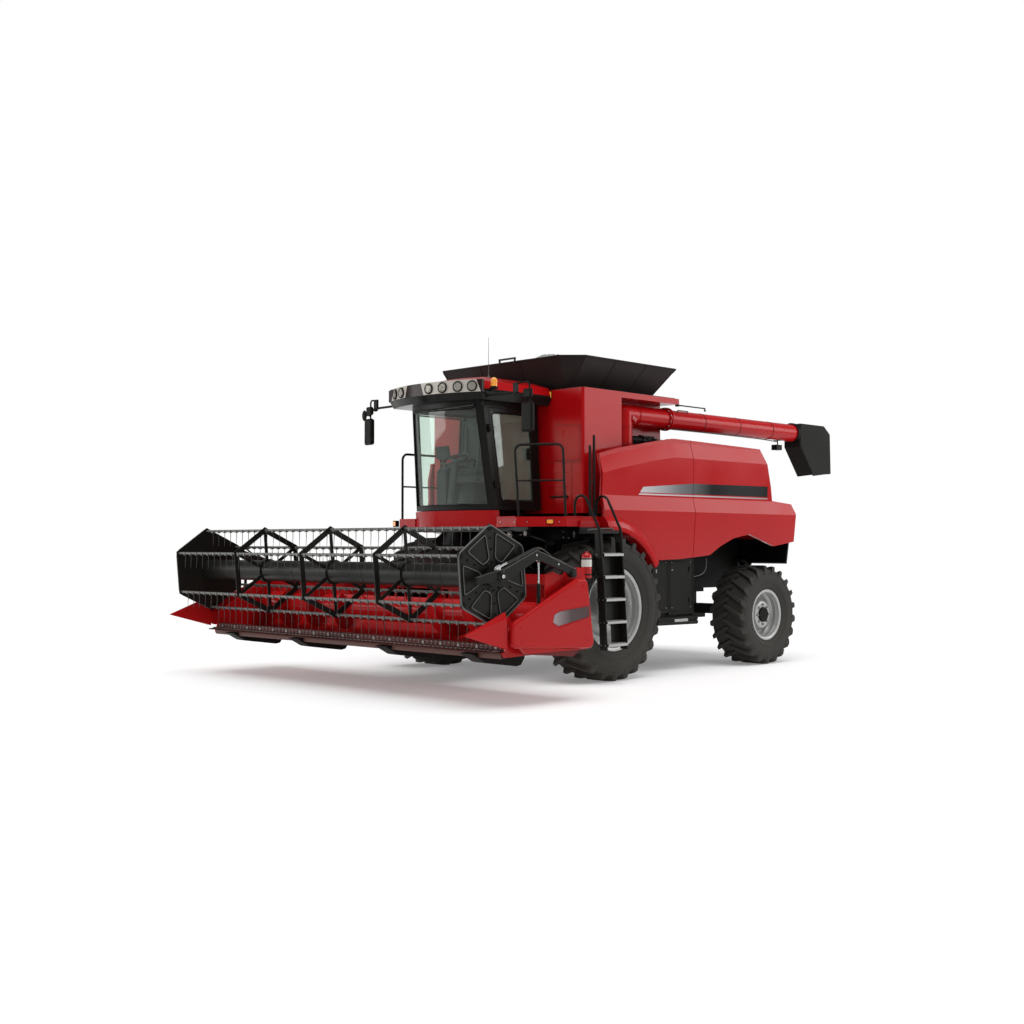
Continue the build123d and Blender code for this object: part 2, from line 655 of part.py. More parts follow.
roof_lip_z = roof_low_z + 105
roof_edge_z = roof_low_z + 245
roof_crown_z = roof_low_z + 350
roof_front_y = -1525
roof_rear_y = -225
lip_plan = (roof_half, roof_front_y, roof_rear_y, roof_bow)
edge_plan = (roof_half - 45, roof_front_y + 55, roof_rear_y, roof_bow - 10)
foot_plan = (roof_half - 35, roof_front_y + 45, roof_rear_y - 15, roof_bow - 16)
crown_plan = (roof_half - 375, roof_front_y + 395, roof_rear_y - 75, 120)
roof = loft([roof_plan(*foot_plan, roof_low_z), roof_plan(*lip_plan, roof_lip_z)])
roof += loft([roof_plan(*lip_plan, roof_lip_z), roof_plan(*edge_plan, roof_edge_z)])
roof += loft([roof_plan(*edge_plan, roof_edge_z), roof_plan(*crown_plan, roof_crown_z)])
# Lamp band across the front of the roof, with round lamps set square to the bow
band_low_z = roof_low_z + 90
band_front_y = roof_front_y - 12
band_plan = (roof_half + 5, band_front_y, roof_rear_y, roof_bow)
band = loft([roof_plan(*band_plan, band_low_z), roof_plan(*band_plan, roof_edge_z + 8)])
roof += band & block(-roof_half - 10, roof_half + 10, band_front_y - roof_bow - 10, roof_front_y + 30,
                     band_low_z, roof_edge_z + 8)
bow_r = (roof_half ** 2 + roof_bow ** 2) / 2 / roof_bow
lamp_z = (band_low_z + roof_edge_z) / 2
for x in (-640, -443, 165, 398, 626, 819):
    lean_out = asin(x / bow_r)
    lamp_y = band_front_y - roof_bow + bow_r * (1 - cos(lean_out))
    roof += Pos(x, lamp_y, lamp_z) * Rot(0, 0, degrees(lean_out)) * Rot(90, 0, 0) * Cylinder(62, 24)
nodes["cab_roof"] = roof

# Seat, steering column and console
seat_y = -760
cab_floor_z = cab_low_z + 50 + seat_gap


def cushion(x0, x1, y0, y1, z0, z1, soft):
    return fillet(block(x0, x1, y0, y1, z0, z1).edges(), soft)


seat = cushion(-250, 250, seat_y - 250, seat_y + 240, 2740, 2870, 45)
seat += Pos(0, seat_y + 230, 2840) * Rot(-8, 0, 0) * cushion(-235, 235, -50, 60, 0, 500, 45)
seat += Pos(0, seat_y + 300, 3295) * Rot(-8, 0, 0) * cushion(-120, 120, -45, 45, 0, 140, 35)
seat += block(-190, 190, seat_y - 170, seat_y + 200, 2660, 2760)
for x in (-290, 235):
    seat += cushion(x, x + 55, seat_y - 120, seat_y + 250, 2960, 3010, 20)
    seat += block(x + 10, x + 45, seat_y + 190, seat_y + 240, 2780, 2980)
seat += block(-235, 235, seat_y + 195, seat_y + 235, 2780, 2830)
seat += loft([Plane.XY.offset(cab_floor_z) * Pos(0, seat_y) * Rectangle(360, 380),
              Plane.XY.offset(2662) * Pos(0, seat_y) * Rectangle(240, 260)])
nodes["seat"] = seat
wheel_centre = (0, -1130, 2980)
column = rod((0, -1230, cab_low_z + 66), wheel_centre, 45)
column += rod((0, -1230, cab_low_z + 50 + seat_gap), (0, -1230, cab_low_z + 90), 70)
column += Pos(*wheel_centre) * Rot(24, 0, 0) * Torus(190, 15)
column += Pos(*wheel_centre) * Rot(24, 0, 0) * Box(380, 36, 16)
nodes["steering_column"] = column
console = side_plate([(-1010, cab_floor_z), (-1010, 2830), (-880, 2930), (-540, 2900), (-500, cab_floor_z)],
                     -520, -330, 30)
console += rod((-430, -900, 2880), (-430, -960, 3010), 16)
console += Pos(-430, -975, 3090) * Rot(14, 0, 0) * Box(250, 36, 180)
console += rod((-420, -640, 2880), (-420, -660, 3010), 13) + Pos(-420, -662, 3030) * Sphere(34)
nodes["console"] = console

# Mirrors on arms from the roof: one large and one small on each side
mirror_x = 1594
mirror_half = 92
mirror_node = Part()
for side in (1, -1):
    mirror_node += rod((side * 850, -1420, roof_low_z + 52), (side * 1405, -1385, roof_low_z + 52), 16)
    mirror_node += block(side * 1370, side * 1440, -1400, -1368, roof_low_z + 32, roof_low_z + 178)
    mirror_node += bent_tube([(side * 1400, -1384, roof_low_z + 166),
                              (side * mirror_x, -1330, roof_low_z + 184),
                              (side * (mirror_x + 14), -1322, 3480)], 12, 50)
    glass_box = cushion(-mirror_half, mirror_half, -34, 34, -190, 190, 30)
    mirror_node += Pos(side * mirror_x, -1358, 3430) * Rot(0, 0, side * 6) * glass_box
    small_box = cushion(-70, 70, -26, 26, -62, 62, 24)
    mirror_node += Pos(side * (mirror_x - 4), -1352, 3730) * Rot(0, 0, side * 6) * small_box
nodes["mirrors"] = mirror_node - nodes["cab_roof"]

# Beacon on a bracket beside the roof
beacon_x, beacon_y, beacon_z = roof_half + 62, -1375, roof_low_z + 130
beacon = block(roof_half - 80, beacon_x, beacon_y - 30, beacon_y + 30, beacon_z, beacon_z + 16)
beacon += rod((beacon_x, beacon_y, beacon_z), (beacon_x, beacon_y, beacon_z + 36), 52)
beacon += rod((beacon_x, beacon_y, beacon_z + 36), (beacon_x, beacon_y, beacon_z + 113), 43)
beacon += Pos(beacon_x, beacon_y, beacon_z + 113) * Sphere(43)
nodes["beacon"] = beacon - nodes["cab_roof"]

# Platform round the cab's left side, and a narrow one on the right
deck_in_x = cab_low_half + 30
deck_points = [(deck_in_x, deck_front_y), (1180, deck_front_y), (deck_out_x, -750), (deck_out_x, deck_rear_y),
               (1530, deck_rear_y), (1530, tank_front_y - 10), (deck_in_x, tank_front_y - 10)]
platform = plan_plate(deck_points, deck_z - deck_t, deck_z)
right_points = [(-deck_in_x, deck_front_y), (-1150, deck_front_y), (-1300, deck_front_y + 120),
                (-1300, tank_front_y - 10), (-deck_in_x, tank_front_y - 10)]
platform += plan_plate(right_points, deck_z - deck_t, deck_z)
cab_base_z = cab_low_z - 140
for y in (-1000, -420):
    platform += block(-1250, 1250, y, y + 60, deck_z - deck_t - 60, deck_z - deck_t + 5)
    for side in (1, -1):
        platform += block(side * 330, side * 450, y, y + 60, deck_z - deck_t - 5, cab_base_z - seat_gap)
for side in (1, -1):
    platform += block(side * core_half, side * (core_half - 60), -500, -440 - seat_gap, 1900, deck_z - deck_t)
# Apron under the windscreen, bowed like it, on a bracket at each end
apron_t = 30
apron_low_z, apron_high_z = cab_low_z - 240, cab_low_z - 10
apron = cab_solid(-12, apron_low_z, apron_high_z) - cab_solid(apron_t - 12, apron_low_z - 1, apron_high_z + 1)
apron &= block(-2000, 2000, cab_low_y - 600, cab_low_y + 60, apron_low_z, apron_high_z)
platform += apron
for side in (1, -1):
    platform += block(side * (cab_low_half - 20), side * (deck_in_x + 5), deck_front_y + 10, cab_low_y + 55,
                      deck_z - deck_t, deck_z - 20)
nodes["platform"] = platform - nodes["cab_frame"] - nodes["threshing_body"]

# Handrails and ladder
deck_top = deck_z - 2
hoop = bent_tube([(deck_out_x - 520, deck_front_y + 50, deck_top),
                  (deck_out_x - 570, deck_front_y + 20, 3110), (deck_out_x - 25, -790, 3110),
                  (deck_out_x - 25, -740, deck_top)], rail_r, 90)
handrails = hoop
mid_z = 2640
handrails += rod((deck_out_x - 545, deck_front_y + 35, mid_z), (deck_out_x - 25, -765, mid_z), 12)
post_x_out = deck_out_x - 25
for y, z in ((-260, 3120), (-180, 3260)):
    handrails += rod((post_x_out, y, deck_top), (post_x_out, y, z), rail_r)
handrails += rod((post_x_out, -260, mid_z), (post_x_out, -180, mid_z), 12)
ladder = Part()
ladder_front_y = ladder_y - ladder_w / 2
ladder_rear_y = ladder_y + ladder_w / 2
ladder_top_x = deck_out_x + 335
ladder_foot_x = deck_out_x + 430
ladder_foot_z = 450
for y, rail_y in ((ladder_front_y, -560), (ladder_rear_y, -135)):
    stringer = extrude(Plane.XZ.offset(-y) * make_face(Polyline(
        (ladder_top_x - 60, 1990), (ladder_top_x + 60, 1990), (ladder_foot_x + 60, ladder_foot_z),
        (ladder_foot_x - 60, ladder_foot_z), close=True)), 6, both=True)
    ladder += stringer
    ladder += bent_tube([(post_x_out, rail_y, deck_top), (post_x_out, rail_y, 2760),
                         (ladder_top_x + 60, rail_y, 2000), (ladder_foot_x, y, 1260)], rail_r, 110)
ladder += block(deck_out_x + 0.3, ladder_top_x + 60, ladder_front_y, ladder_rear_y, 1950, 1990)
ladder += block(deck_out_x + 0.3, deck_out_x + 30, ladder_front_y, ladder_rear_y, 1950, 2120)
for i in range(step_count):
    z = 1690 - i * step_rise
    x = ladder_top_x + (ladder_foot_x - ladder_top_x) * (1990 - z) / (1990 - ladder_foot_z)
    ladder += block(x - 75, x + 75, ladder_front_y, ladder_rear_y, z - 30, z)
right_rail = bent_tube([(-1260, deck_front_y + 140, deck_top), (-1260, deck_front_y + 140, 3110),
                        (-1260, tank_front_y - 60, 3110), (-1260, tank_front_y - 60, deck_top)], rail_r, 90)
handrails += right_rail
handrails += rod((-1260, deck_front_y + 140, mid_z), (-1260, tank_front_y - 60, mid_z), 12)
nodes["ladder"] = ladder - nodes["platform"]
nodes["handrails"] = handrails - nodes["platform"] - nodes["ladder"]

# Unloading tube: elbow turning on a fixed post, long tube and rubber spout
unload_post = rod((post_x, post_y, 2980), (post_x, post_y, post_low_z + 120), post_r)
unload_post += block(tank_waist_half + seat_gap, post_x, post_y - 80, post_y + 80, 3000, 3100)
nodes["unload_post"] = unload_post
elbow_low = post_low_z + 120 + seat_gap
unload = rod((post_x, post_y, elbow_low), (post_x, post_y, tube_z), post_r)
unload += Pos(post_x, post_y, tube_z) * Sphere(post_r)
unload += rod((post_x, post_y, tube_z), (post_x, tube_end_y, tube_z), post_r)
unload += rod((post_x, 1770, tube_z), (post_x, 1810, tube_z), post_r + 30)
unload -= rod((post_x, post_y + 1500, tube_z), (post_x, tube_end_y + 1, tube_z), post_r - tube_wall)
nodes["unloading_tube"] = unload
spout_points = [(5140, tube_z + post_r + 18), (5900, tube_z + post_r + 18), (6080, 3660),
                (tube_end_y + spout_reach, 2990), (5530, 2930), (5140, 3400)]
spout_t = 14
spout_hollow = [(5300, tube_z + post_r + 4), (5890, tube_z + post_r + 4), (6064, 3650),
                (tube_end_y + spout_reach - spout_t, 2900), (5550, 2900), (5300, 3240)]
spout = side_plate(spout_points, post_x - post_r - 18, post_x + post_r + 18)
spout = fillet(spout.edges().filter_by(Axis.X).group_by(Axis.Z)[-1], 70)
spout = fillet(spout.faces().sort_by(Axis.X)[0].edges() + spout.faces().sort_by(Axis.X)[-1].edges(), 34)
spout -= side_plate(spout_hollow, post_x - post_r - 4, post_x + post_r + 4)
clamp_y = tube_end_y - 190
spout += rod((post_x, clamp_y, tube_z), (post_x, clamp_y + 45, tube_z), post_r + 26)
spout -= rod((post_x, 5000, tube_z), (post_x, 5400, tube_z), post_r + seat_gap)
nodes["spout"] = spout

# Feeder house: a sheet tunnel open to the header
feeder_points = [(-500, 2010), (-640, 1290), (feeder_front_y, 560), (feeder_front_y, 1300), (-640, 2050)]
feeder_hollow = [(-720, 1920), (-740, 1290), (feeder_front_y - 10, 590), (feeder_front_y - 10, 1270)]
feeder = side_plate(feeder_points, -feeder_half, feeder_half)
feeder -= side_plate(feeder_hollow, -feeder_half + sheet, feeder_half - sheet)
eye_y, eye_z = -1300, 780
eye_pin_r = 24
for side in (1, -1):
    for ear in (-1, 1):
        x0 = side * lift_x + ear * (foot_half + 6)
        feeder += side_plate([(eye_y - 90, 760), (eye_y + 50, eye_z - 60), (eye_y + 160, 1010),
                              (eye_y - 60, 870)], x0, x0 + ear * 18)
    feeder += cross_rod(side * lift_x - foot_half - 10, side * lift_x + foot_half + 10,
                        eye_y, eye_z, eye_pin_r)
# Trunnions that the feeder house swings on
feeder -= cross_rod(-feeder_half - 1, feeder_half + 1, lift_y, lift_z, 45 + run_gap)
nodes["feeder_house"] = feeder
trunnion = Part()
for side in (1, -1):
    trunnion += cross_rod(side * (feeder_half - 60), side * (feeder_half + 60), lift_y, lift_z, 45)
    trunnion += side_plate([(-440 - seat_gap, 1850), (-440 - seat_gap, 2080), (lift_y - 70, 2040),
                            (lift_y - 70, 1880)], side * (feeder_half + 12), side * (feeder_half + 60))
nodes["feeder_trunnions"] = trunnion - nodes["platform"]

# Lift cylinders under the feeder house: barrels on the axle, rods to the feeder house
def cylinder(foot, eye, x, barrel_r, rod_r, barrel_len, rod_back, foot_bore, eye_bore, eye_w):
    """Barrel and rod between a foot pin and an eye, both across the machine at one X."""
    length = hypot(eye[0] - foot[0], eye[1] - foot[1])
    place = Plane(origin=(x, foot[0], foot[1]), x_dir=(1, 0, 0),
                  z_dir=(0, (eye[0] - foot[0]) / length, (eye[1] - foot[1]) / length))
    barrel_start = foot_bore + 12
    barrel = Cylinder(barrel_r, barrel_len - barrel_start,
                      align=(Align.CENTER, Align.CENTER, Align.MIN)).moved(Location((0, 0, barrel_start)))
    barrel += Rot(0, 90, 0) * Cylinder(foot_bore + 22, eye_w)
    barrel -= Rot(0, 90, 0) * Cylinder(foot_bore + run_gap, eye_w + 2)
    barrel -= Cylinder(rod_r + run_gap, barrel_len, align=(Align.CENTER, Align.CENTER, Align.MIN)).moved(
        Location((0, 0, foot_bore + 34)))
    piston_rod = Cylinder(rod_r, length - rod_back - eye_bore - 8,
                          align=(Align.CENTER, Align.CENTER, Align.MIN)).moved(Location((0, 0, rod_back)))
    piston_rod += Pos(0, 0, length) * Rot(0, 90, 0) * Cylinder(eye_bore + 15, eye_w)
    piston_rod -= Pos(0, 0, length) * Rot(0, 90, 0) * Cylinder(eye_bore, eye_w + 2)
    return place * barrel, place * piston_rod


lift_pairs = [cylinder(lift_foot, (eye_y, eye_z), side * lift_x, 55, 34, 640, 300, foot_r, eye_pin_r + 14, 56)
              for side in (1, -1)]
nodes["lift_barrels"] = Part() + [pair[0] for pair in lift_pairs]
nodes["lift_rods"] = Part() + [pair[1] for pair in lift_pairs]

# Header: trough, back sheet, top beam and end sheets
trough_r = auger_flight_r + 40
knife_seat_z = knife_z - 6 - seat_gap
trough = [(knife_y + 40, knife_seat_z), (knife_y + 140, knife_seat_z),
          (auger_y - trough_r * 0.75, auger_z - trough_r - 12), (auger_y, auger_z - trough_r - 25),
          (auger_y + trough_r * 0.7, auger_z - trough_r * 0.85),
          (header_back_y - 30, auger_z - 60), (header_back_y - 30, header_top_z),
          (header_back_y, header_top_z), (header_back_y, auger_z - trough_r - 50),
          (knife_y + 40, knife_z - 40)]
trough_floor = side_plate(trough, -header_half, header_half)
throat_z0, throat_z1 = 640, 1230
throat_half = 620
trough_floor -= block(-throat_half, throat_half, -1960, -1700, throat_z0, throat_z1)
header = trough_floor
header += block(-header_half, header_half, header_back_y - 130, header_back_y,
                header_top_z - 120, header_top_z)
end_points = [(knife_y + 40, knife_z - 60), (header_back_y + 60, auger_z - trough_r - 50),
              (header_back_y + 60, header_top_z), (-2120, header_top_z), (-2300, 1280), (knife_y + 120, 880)]
for side in (1, -1):
    header += side_plate(end_points, side * header_half, side * (header_half - end_sheet_t))
    header += side_plate([(header_back_y, header_top_z - 60), (header_back_y, 1300),
                          (feeder_front_y - seat_gap, 1300), (feeder_front_y - seat_gap, header_top_z - 60)],
                         side * 500, side * 620)
    # pivot brackets for the reel arms
    header += block(side * (header_half - 10), side * (header_half + 40), arm_pivot[0] - 60, header_back_y,
                    header_top_z - 100, arm_pivot[1] + 60)
    header += cross_rod(side * (header_half + 30), side * (arm_x + 34), *arm_pivot, 25)
    # foot of the reel cylinder
    header += cross_rod(side * (header_half - 5), side * (header_half + 44), reel_rod_y, reel_foot_z, 16)
header -= cross_rod(-header_half + 40, header_half - 40, auger_y, auger_z, auger_flight_r + 12)
skid = side_plate([(-2980, 560), (-2850, 500), (-2400, 505), (-2350, 600)],
                  header_half - 600, header_half - 420)
header += Part() + both(skid) + both(Pos(-1500, 0, 0) * skid)
auger_stub_r = 30
header -= cross_rod(-header_half - 1, header_half + 1, auger_y, auger_z, auger_stub_r + run_gap)
nodes["header_frame"] = header

# Header end covers: a rounded shield clear of the reel arm, with a recess for its band, and a pointed divider
shield_in_x = arm_x + arm_w / 2 + swing_gap
shield_outline = [(shield_front_y, 673), (shield_front_y, 947), (-2035, 1416), (-1862, 1416), (-1738, 602)]
shield = side_plate(shield_outline, shield_in_x, shield_out_x, 80)
shield = fillet(shield.faces().sort_by(Axis.X)[-1].edges(), 30)
shield += side_plate([(shield_front_y + 50, 700), (shield_front_y + 50, 880), (-1850, 1180), (-1820, 660)],
                     header_half + 60, shield_in_x + 10)
band_points = [(-2440, 1032), (-2470, 925), (-2360, 872), (-1700, 985), (-1700, 1128), (-2340, 1066)]
shield -= side_plate(band_points, shield_out_x - 9, shield_out_x + 10, 22)
# lower rim
shield += side_plate([(-2960, 676), (-2830, 590), (-2090, 528), (-1960, 606)],
                     header_half + 70, shield_out_x - 28)
divider_rear_y = -3135
tip_x, tip_y, tip_z = divider_tip
divider_section = [(100, 668), (100, 1000), (66, 1075), (10, 985), (10, 668)]
divider_end = [(3, -4), (3, 2), (0, 4), (-3, 2), (-3, -4)]
shield += loft([
    Plane(origin=(header_half, divider_rear_y, 0), x_dir=(1, 0, 0), z_dir=(0, -1, 0))
    * make_face(Polyline(*divider_section, close=True)),
    Plane(origin=(tip_x, tip_y, tip_z), x_dir=(1, 0, 0), z_dir=(0, -1, 0))
    * make_face(Polyline(*divider_end, close=True)),
], ruled=True)
shield += block(header_half + 5, header_half + 70, divider_rear_y - 30, shield_front_y + 120, 700, 860)
for y in (-2950, -2050):
    shield += block(header_half + seat_gap, header_half + 80, y, y + 150, 700, 860)
nodes["end_covers"] = Part() + both(shield - header)

# Knife and guards
guards = []
guard_half = header_half - 30
count = int(2 * guard_half / guard_pitch)
for i in range(count):
    x = -count * guard_pitch / 2 + i * guard_pitch
    guards += [(x, knife_y + 55), (x + guard_pitch * 0.3, knife_y + 55),
               (x + guard_pitch * 0.5, knife_y - guard_len), (x + guard_pitch * 0.7, knife_y + 55)]
knife_outline = guards + [(count * guard_pitch / 2, knife_y + 55), (count * guard_pitch / 2, knife_y + 110),
                          (-count * guard_pitch / 2, knife_y + 110)]
cutter = plan_plate(knife_outline, knife_z - 6, knife_z + 12)
nodes["cutter_bar"] = cutter - header

# Header auger: tube, spiral flights and retracting fingers
auger = cross_rod(-header_half + 40, header_half - 40, auger_y, auger_z, auger_tube_r)
auger += cross_rod(-header_half - 12, header_half + 12, auger_y, auger_z, auger_stub_r)
flight_len = 2150


def flight(side):
    middle_r = (auger_tube_r + auger_flight_r) / 2
    path = Helix(pitch=auger_pitch, height=flight_len, radius=middle_r, lefthand=side < 0)
    face = Plane(origin=path @ 0, x_dir=(1, 0, 0), z_dir=path % 0)
    face = face * Rectangle(auger_flight_r - auger_tube_r + 8, 8)
    blade = sweep(face, path=path, is_frenet=True)
    return Pos(side * (header_half - 60), auger_y, auger_z) * Rot(0, -90 * side, 0) * blade


auger += flight(1)
auger += flight(-1)
for i in range(7):
    x = -450 + i * 150
    turn = i * 140
    reach = auger_flight_r + 20
    auger += rod((x, auger_y, auger_z),
                 (x, auger_y + reach * cos(radians(turn)), auger_z + reach * sin(radians(turn))), 9)
nodes["header_auger"] = auger

# Reel arms with the reel's bearings
arm_line = [(arm_pivot[0] + 60, arm_pivot[1] - 45), (arm_pivot[0] + 60, arm_pivot[1] + 45),
            (arm_peak[0], arm_peak[1] + 45), (reel_y + 40, reel_z + 75), (reel_y - 60, reel_z + 60),
            (arm_tip[0], arm_tip[1] + 35), (arm_tip[0], arm_tip[1] - 35), (reel_y - 60, reel_z - 60),
            (reel_y + 60, reel_z - 60), (arm_peak[0] + 10, arm_peak[1] - 60)]
arm = side_plate(arm_line, arm_x - arm_w / 2, arm_x + arm_w / 2)
arm -= cross_rod(arm_x - 40, arm_x + 40, *arm_pivot, 25 + run_gap)
reel_shaft_r = 32
arm -= cross_rod(arm_x - 40, arm_x + 40, reel_y, reel_z, reel_shaft_r + run_gap)
reel_eye = (reel_rod_y, 1640)
arm += cross_rod(reel_cylinder_x - 14, arm_x, *reel_eye, 14)
nodes["reel_arms"] = Part() + both(arm)

# Reel: end plates, three open spiders and the centre tube
bar_angles = [90 - reel_phase + i * 360 / bar_count for i in range(bar_count)]


def on_reel(angle, radius):
    return (reel_y + radius * cos(radians(angle)), reel_z + radius * sin(radians(angle)))


hex_r = bar_circle_r + 45
hexagon = [on_reel(a, hex_r) for a in bar_angles]
hex_hole = [on_reel(a, hex_r - 80) for a in bar_angles]
reel = cross_rod(-reel_half, reel_half, reel_y, reel_z, reel_tube_r)
plate = side_plate(hexagon, 0, reel_plate_t)
ring = plate - side_plate(hex_hole, -1, reel_plate_t + 1)
for a in bar_angles:
    spoke_out = on_reel(a, hex_r - 60)
    spoke = Pos(reel_plate_t / 2, 0, 0) * extrude(
        Plane(origin=(0, reel_y, reel_z), x_dir=(1, 0, 0), z_dir=(0, cos(radians(a)), sin(radians(a))))
        * Rectangle(reel_plate_t, 44), hex_r - 60)
    ring += spoke
spider_xs = [-reel_half / 2, 0, reel_half / 2]
for x in spider_xs:
    reel += Pos(x - reel_plate_t / 2, 0, 0) * ring
    reel += cross_rod(x - 38, x + 38, reel_y, reel_z, reel_tube_r + 20)
# end plates: in each sector a pressed rib runs round, clear of the tine bars
rib_w, rib_h = 16, 9
ribs = []
for a in bar_angles:
    sector = [on_reel(a + 12, 190), on_reel(a + 9, hex_r - 96), on_reel(a + 51, hex_r - 96),
              on_reel(a + 48, 190)]
    centre_y, centre_z = on_reel(a + 30, 370)
    inner = [(centre_y + (y - centre_y) * 0.9, centre_z + (z - centre_z) * 0.9) for y, z in sector]
    ribs.append(side_plate(sector, 0, rib_h) - side_plate(inner, -1, rib_h + 1))
for x, rib_x in ((-reel_half, -reel_half - rib_h), (reel_half - reel_plate_t, reel_half)):
    reel += Pos(x, 0, 0) * plate
    reel += [Pos(rib_x, 0, 0) * rib for rib in ribs]
for a in bar_angles:
    reel -= cross_rod(-reel_half - 1, reel_half + 1, *on_reel(a, bar_circle_r), bar_r + run_gap)
for side in (1, -1):
    reel += cross_rod(side * (reel_half - 10), side * (arm_x + arm_w / 2 + 4), reel_y, reel_z, reel_shaft_r)
    reel += cross_rod(side * reel_half, side * (reel_half + 34), reel_y, reel_z, 118)
    reel += cross_rod(side * reel_half, side * (reel_half + 62), reel_y, reel_z, 70)
nodes["reel"] = reel

# Tine bars: each turns in the reel so that its tines always hang
tine_count = int((reel_half - 60) / tine_pitch)
for i, a in enumerate(bar_angles):
    y, z = on_reel(a, bar_circle_r)
    bar = cross_rod(-reel_half - 6, reel_half + 6, y, z, bar_r)
    for k in range(-tine_count, tine_count):
        x = (k + 0.5) * tine_pitch
        bar += block(x - tine_w / 2, x + tine_w / 2, y - tine_w / 2, y + tine_w / 2, z - tine_len, z - 5)
    nodes[f"tine_bar_{i + 1}"] = bar

# Reel lift cylinders
reel_pairs = [cylinder((reel_rod_y, reel_foot_z), reel_eye, side * reel_cylinder_x,
                       22, 12, 330, 80, 16, 20, 26) for side in (1, -1)]
nodes["reel_barrels"] = Part() + [pair[0] for pair in reel_pairs]
nodes["reel_rods"] = Part() + [pair[1] for pair in reel_pairs]

# Written about the middle of the length, on the ground
reach_front = divider_tip[1]
reach_rear = tube_end_y + spout_reach
shift = Pos(0, -(reach_front + reach_rear) / 2, 0)

os.makedirs("parts", exist_ok=True)
for name, shape in nodes.items():
    export_step(shift * shape, f"parts/{name}.step")
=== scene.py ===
# Combine harvester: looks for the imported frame. Metres, +X to the machine's left, +Y to its rear, +Z up.
import bpy, bmesh, math
from mathutils import Matrix, Vector


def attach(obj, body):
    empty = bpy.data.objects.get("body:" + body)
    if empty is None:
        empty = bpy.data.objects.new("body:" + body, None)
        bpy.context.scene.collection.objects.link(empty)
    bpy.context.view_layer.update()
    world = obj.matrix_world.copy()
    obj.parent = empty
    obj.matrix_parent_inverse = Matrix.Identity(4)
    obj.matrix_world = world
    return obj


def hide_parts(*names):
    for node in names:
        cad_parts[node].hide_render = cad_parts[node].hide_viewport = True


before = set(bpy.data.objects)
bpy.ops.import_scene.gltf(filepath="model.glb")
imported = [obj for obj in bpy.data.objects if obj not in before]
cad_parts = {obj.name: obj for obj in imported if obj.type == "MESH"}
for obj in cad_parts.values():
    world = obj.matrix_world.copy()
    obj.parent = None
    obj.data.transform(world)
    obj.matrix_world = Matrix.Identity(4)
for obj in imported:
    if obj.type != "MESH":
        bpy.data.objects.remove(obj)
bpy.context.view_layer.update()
scene = bpy.context.scene
axleY = -1.176  # the front axle's place; the pieces below are given from it
handed = (("left", 1), ("right", -1))
print("frame loaded:", len(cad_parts), "nodes")


def at(x, y, z):  # a point measured from the front axle, on the ground
    return Vector((x, y + axleY, z))


# node helpers: a node's settings first, then its values and links
def feed(tree, node, inputs):
    for label, value in dict(inputs).items():
        if isinstance(value, bpy.types.NodeSocket):
            tree.links.new(value, node.inputs[label])
        else:
            node.inputs[label].default_value = value
    return node


def add(tree, kind, inputs=(), **settings):
    node = tree.nodes.new("ShaderNode" + kind)
    for label, value in settings.items():
        setattr(node, label, value)
    return feed(tree, node, inputs)


def maths(tree, kind, *values, **settings):
    return add(tree, "Math", enumerate(values), operation=kind, **settings).outputs[0]


def ramp(tree, value, stops):  # a colour that runs through its stops
    node = add(tree, "ValToRGB", {0: value})
    ends = node.color_ramp.elements
    for end, stop in ((ends[0], stops[0]), (ends[1], stops[-1])):
        end.position, end.color = stop[0], (*stop[1], 1)
    for place, color in stops[1:-1]:
        ends.new(place).color = (*color, 1)
    return node.outputs[0]


# camera, floor and light
stage = {"lens": 45.22, "sensor": 36, "far": 300, "eye": (12.925, -13.050, 1.816), "turn": (91.418, 0, 44.808),
         "sky": 0.46, "gloss": 0.30, "sun": 1.8, "sunAngle": 48, "sunTurn": (11, 7, 20),
         "floor": 0.8, "floorGlow": 0.20, "floorRadius": 120, "aim": (0, 0.5, 2.5)}
# two tall softboxes that show in the paint, one off the left rear and one off the right front
softboxes = {
    "rearBox": {"at": (13, 16, 7.7), "wide": 11, "tall": 7.5, "power": 950},
    "frontBox": {"at": (-13, -15, 5.4), "wide": 11, "tall": 7.0, "power": 900},
}


def staged(name, data, turn=None):
    thing = bpy.data.objects.new(name, data)
    if turn:
        thing.rotation_euler = [math.radians(a) for a in turn]
    scene.collection.objects.link(thing)
    return thing


def buildCamera():
    camera = staged("camera", bpy.data.cameras.new("camera"), stage["turn"])
    camera.data.lens, camera.data.sensor_width, camera.data.clip_end = stage["lens"], stage["sensor"], stage["far"]
    camera.location = at(*stage["eye"])
    scene.camera = camera
    scene.view_settings.view_transform = "Standard"


def buildWorld():
    world = bpy.data.worlds.new("studio")
    scene.world = world
    world.use_nodes = True
    tree = world.node_tree
    tree.nodes.clear()
    seen, lit, glossy = (add(tree, "Background", {"Color": (1, 1, 1, 1), "Strength": strength}).outputs[0]
                         for strength in (1.0, stage["sky"], stage["gloss"]))
    ray = add(tree, "LightPath").outputs
    either = maths(tree, "MAXIMUM", ray["Is Camera Ray"], ray["Is Transmission Ray"])
    shine = add(tree, "MixShader", {0: ray["Is Glossy Ray"], 1: lit, 2: glossy}).outputs[0]
    mix = add(tree, "MixShader", {0: either, 1: shine, 2: seen}).outputs[0]
    add(tree, "OutputWorld", {"Surface": mix})


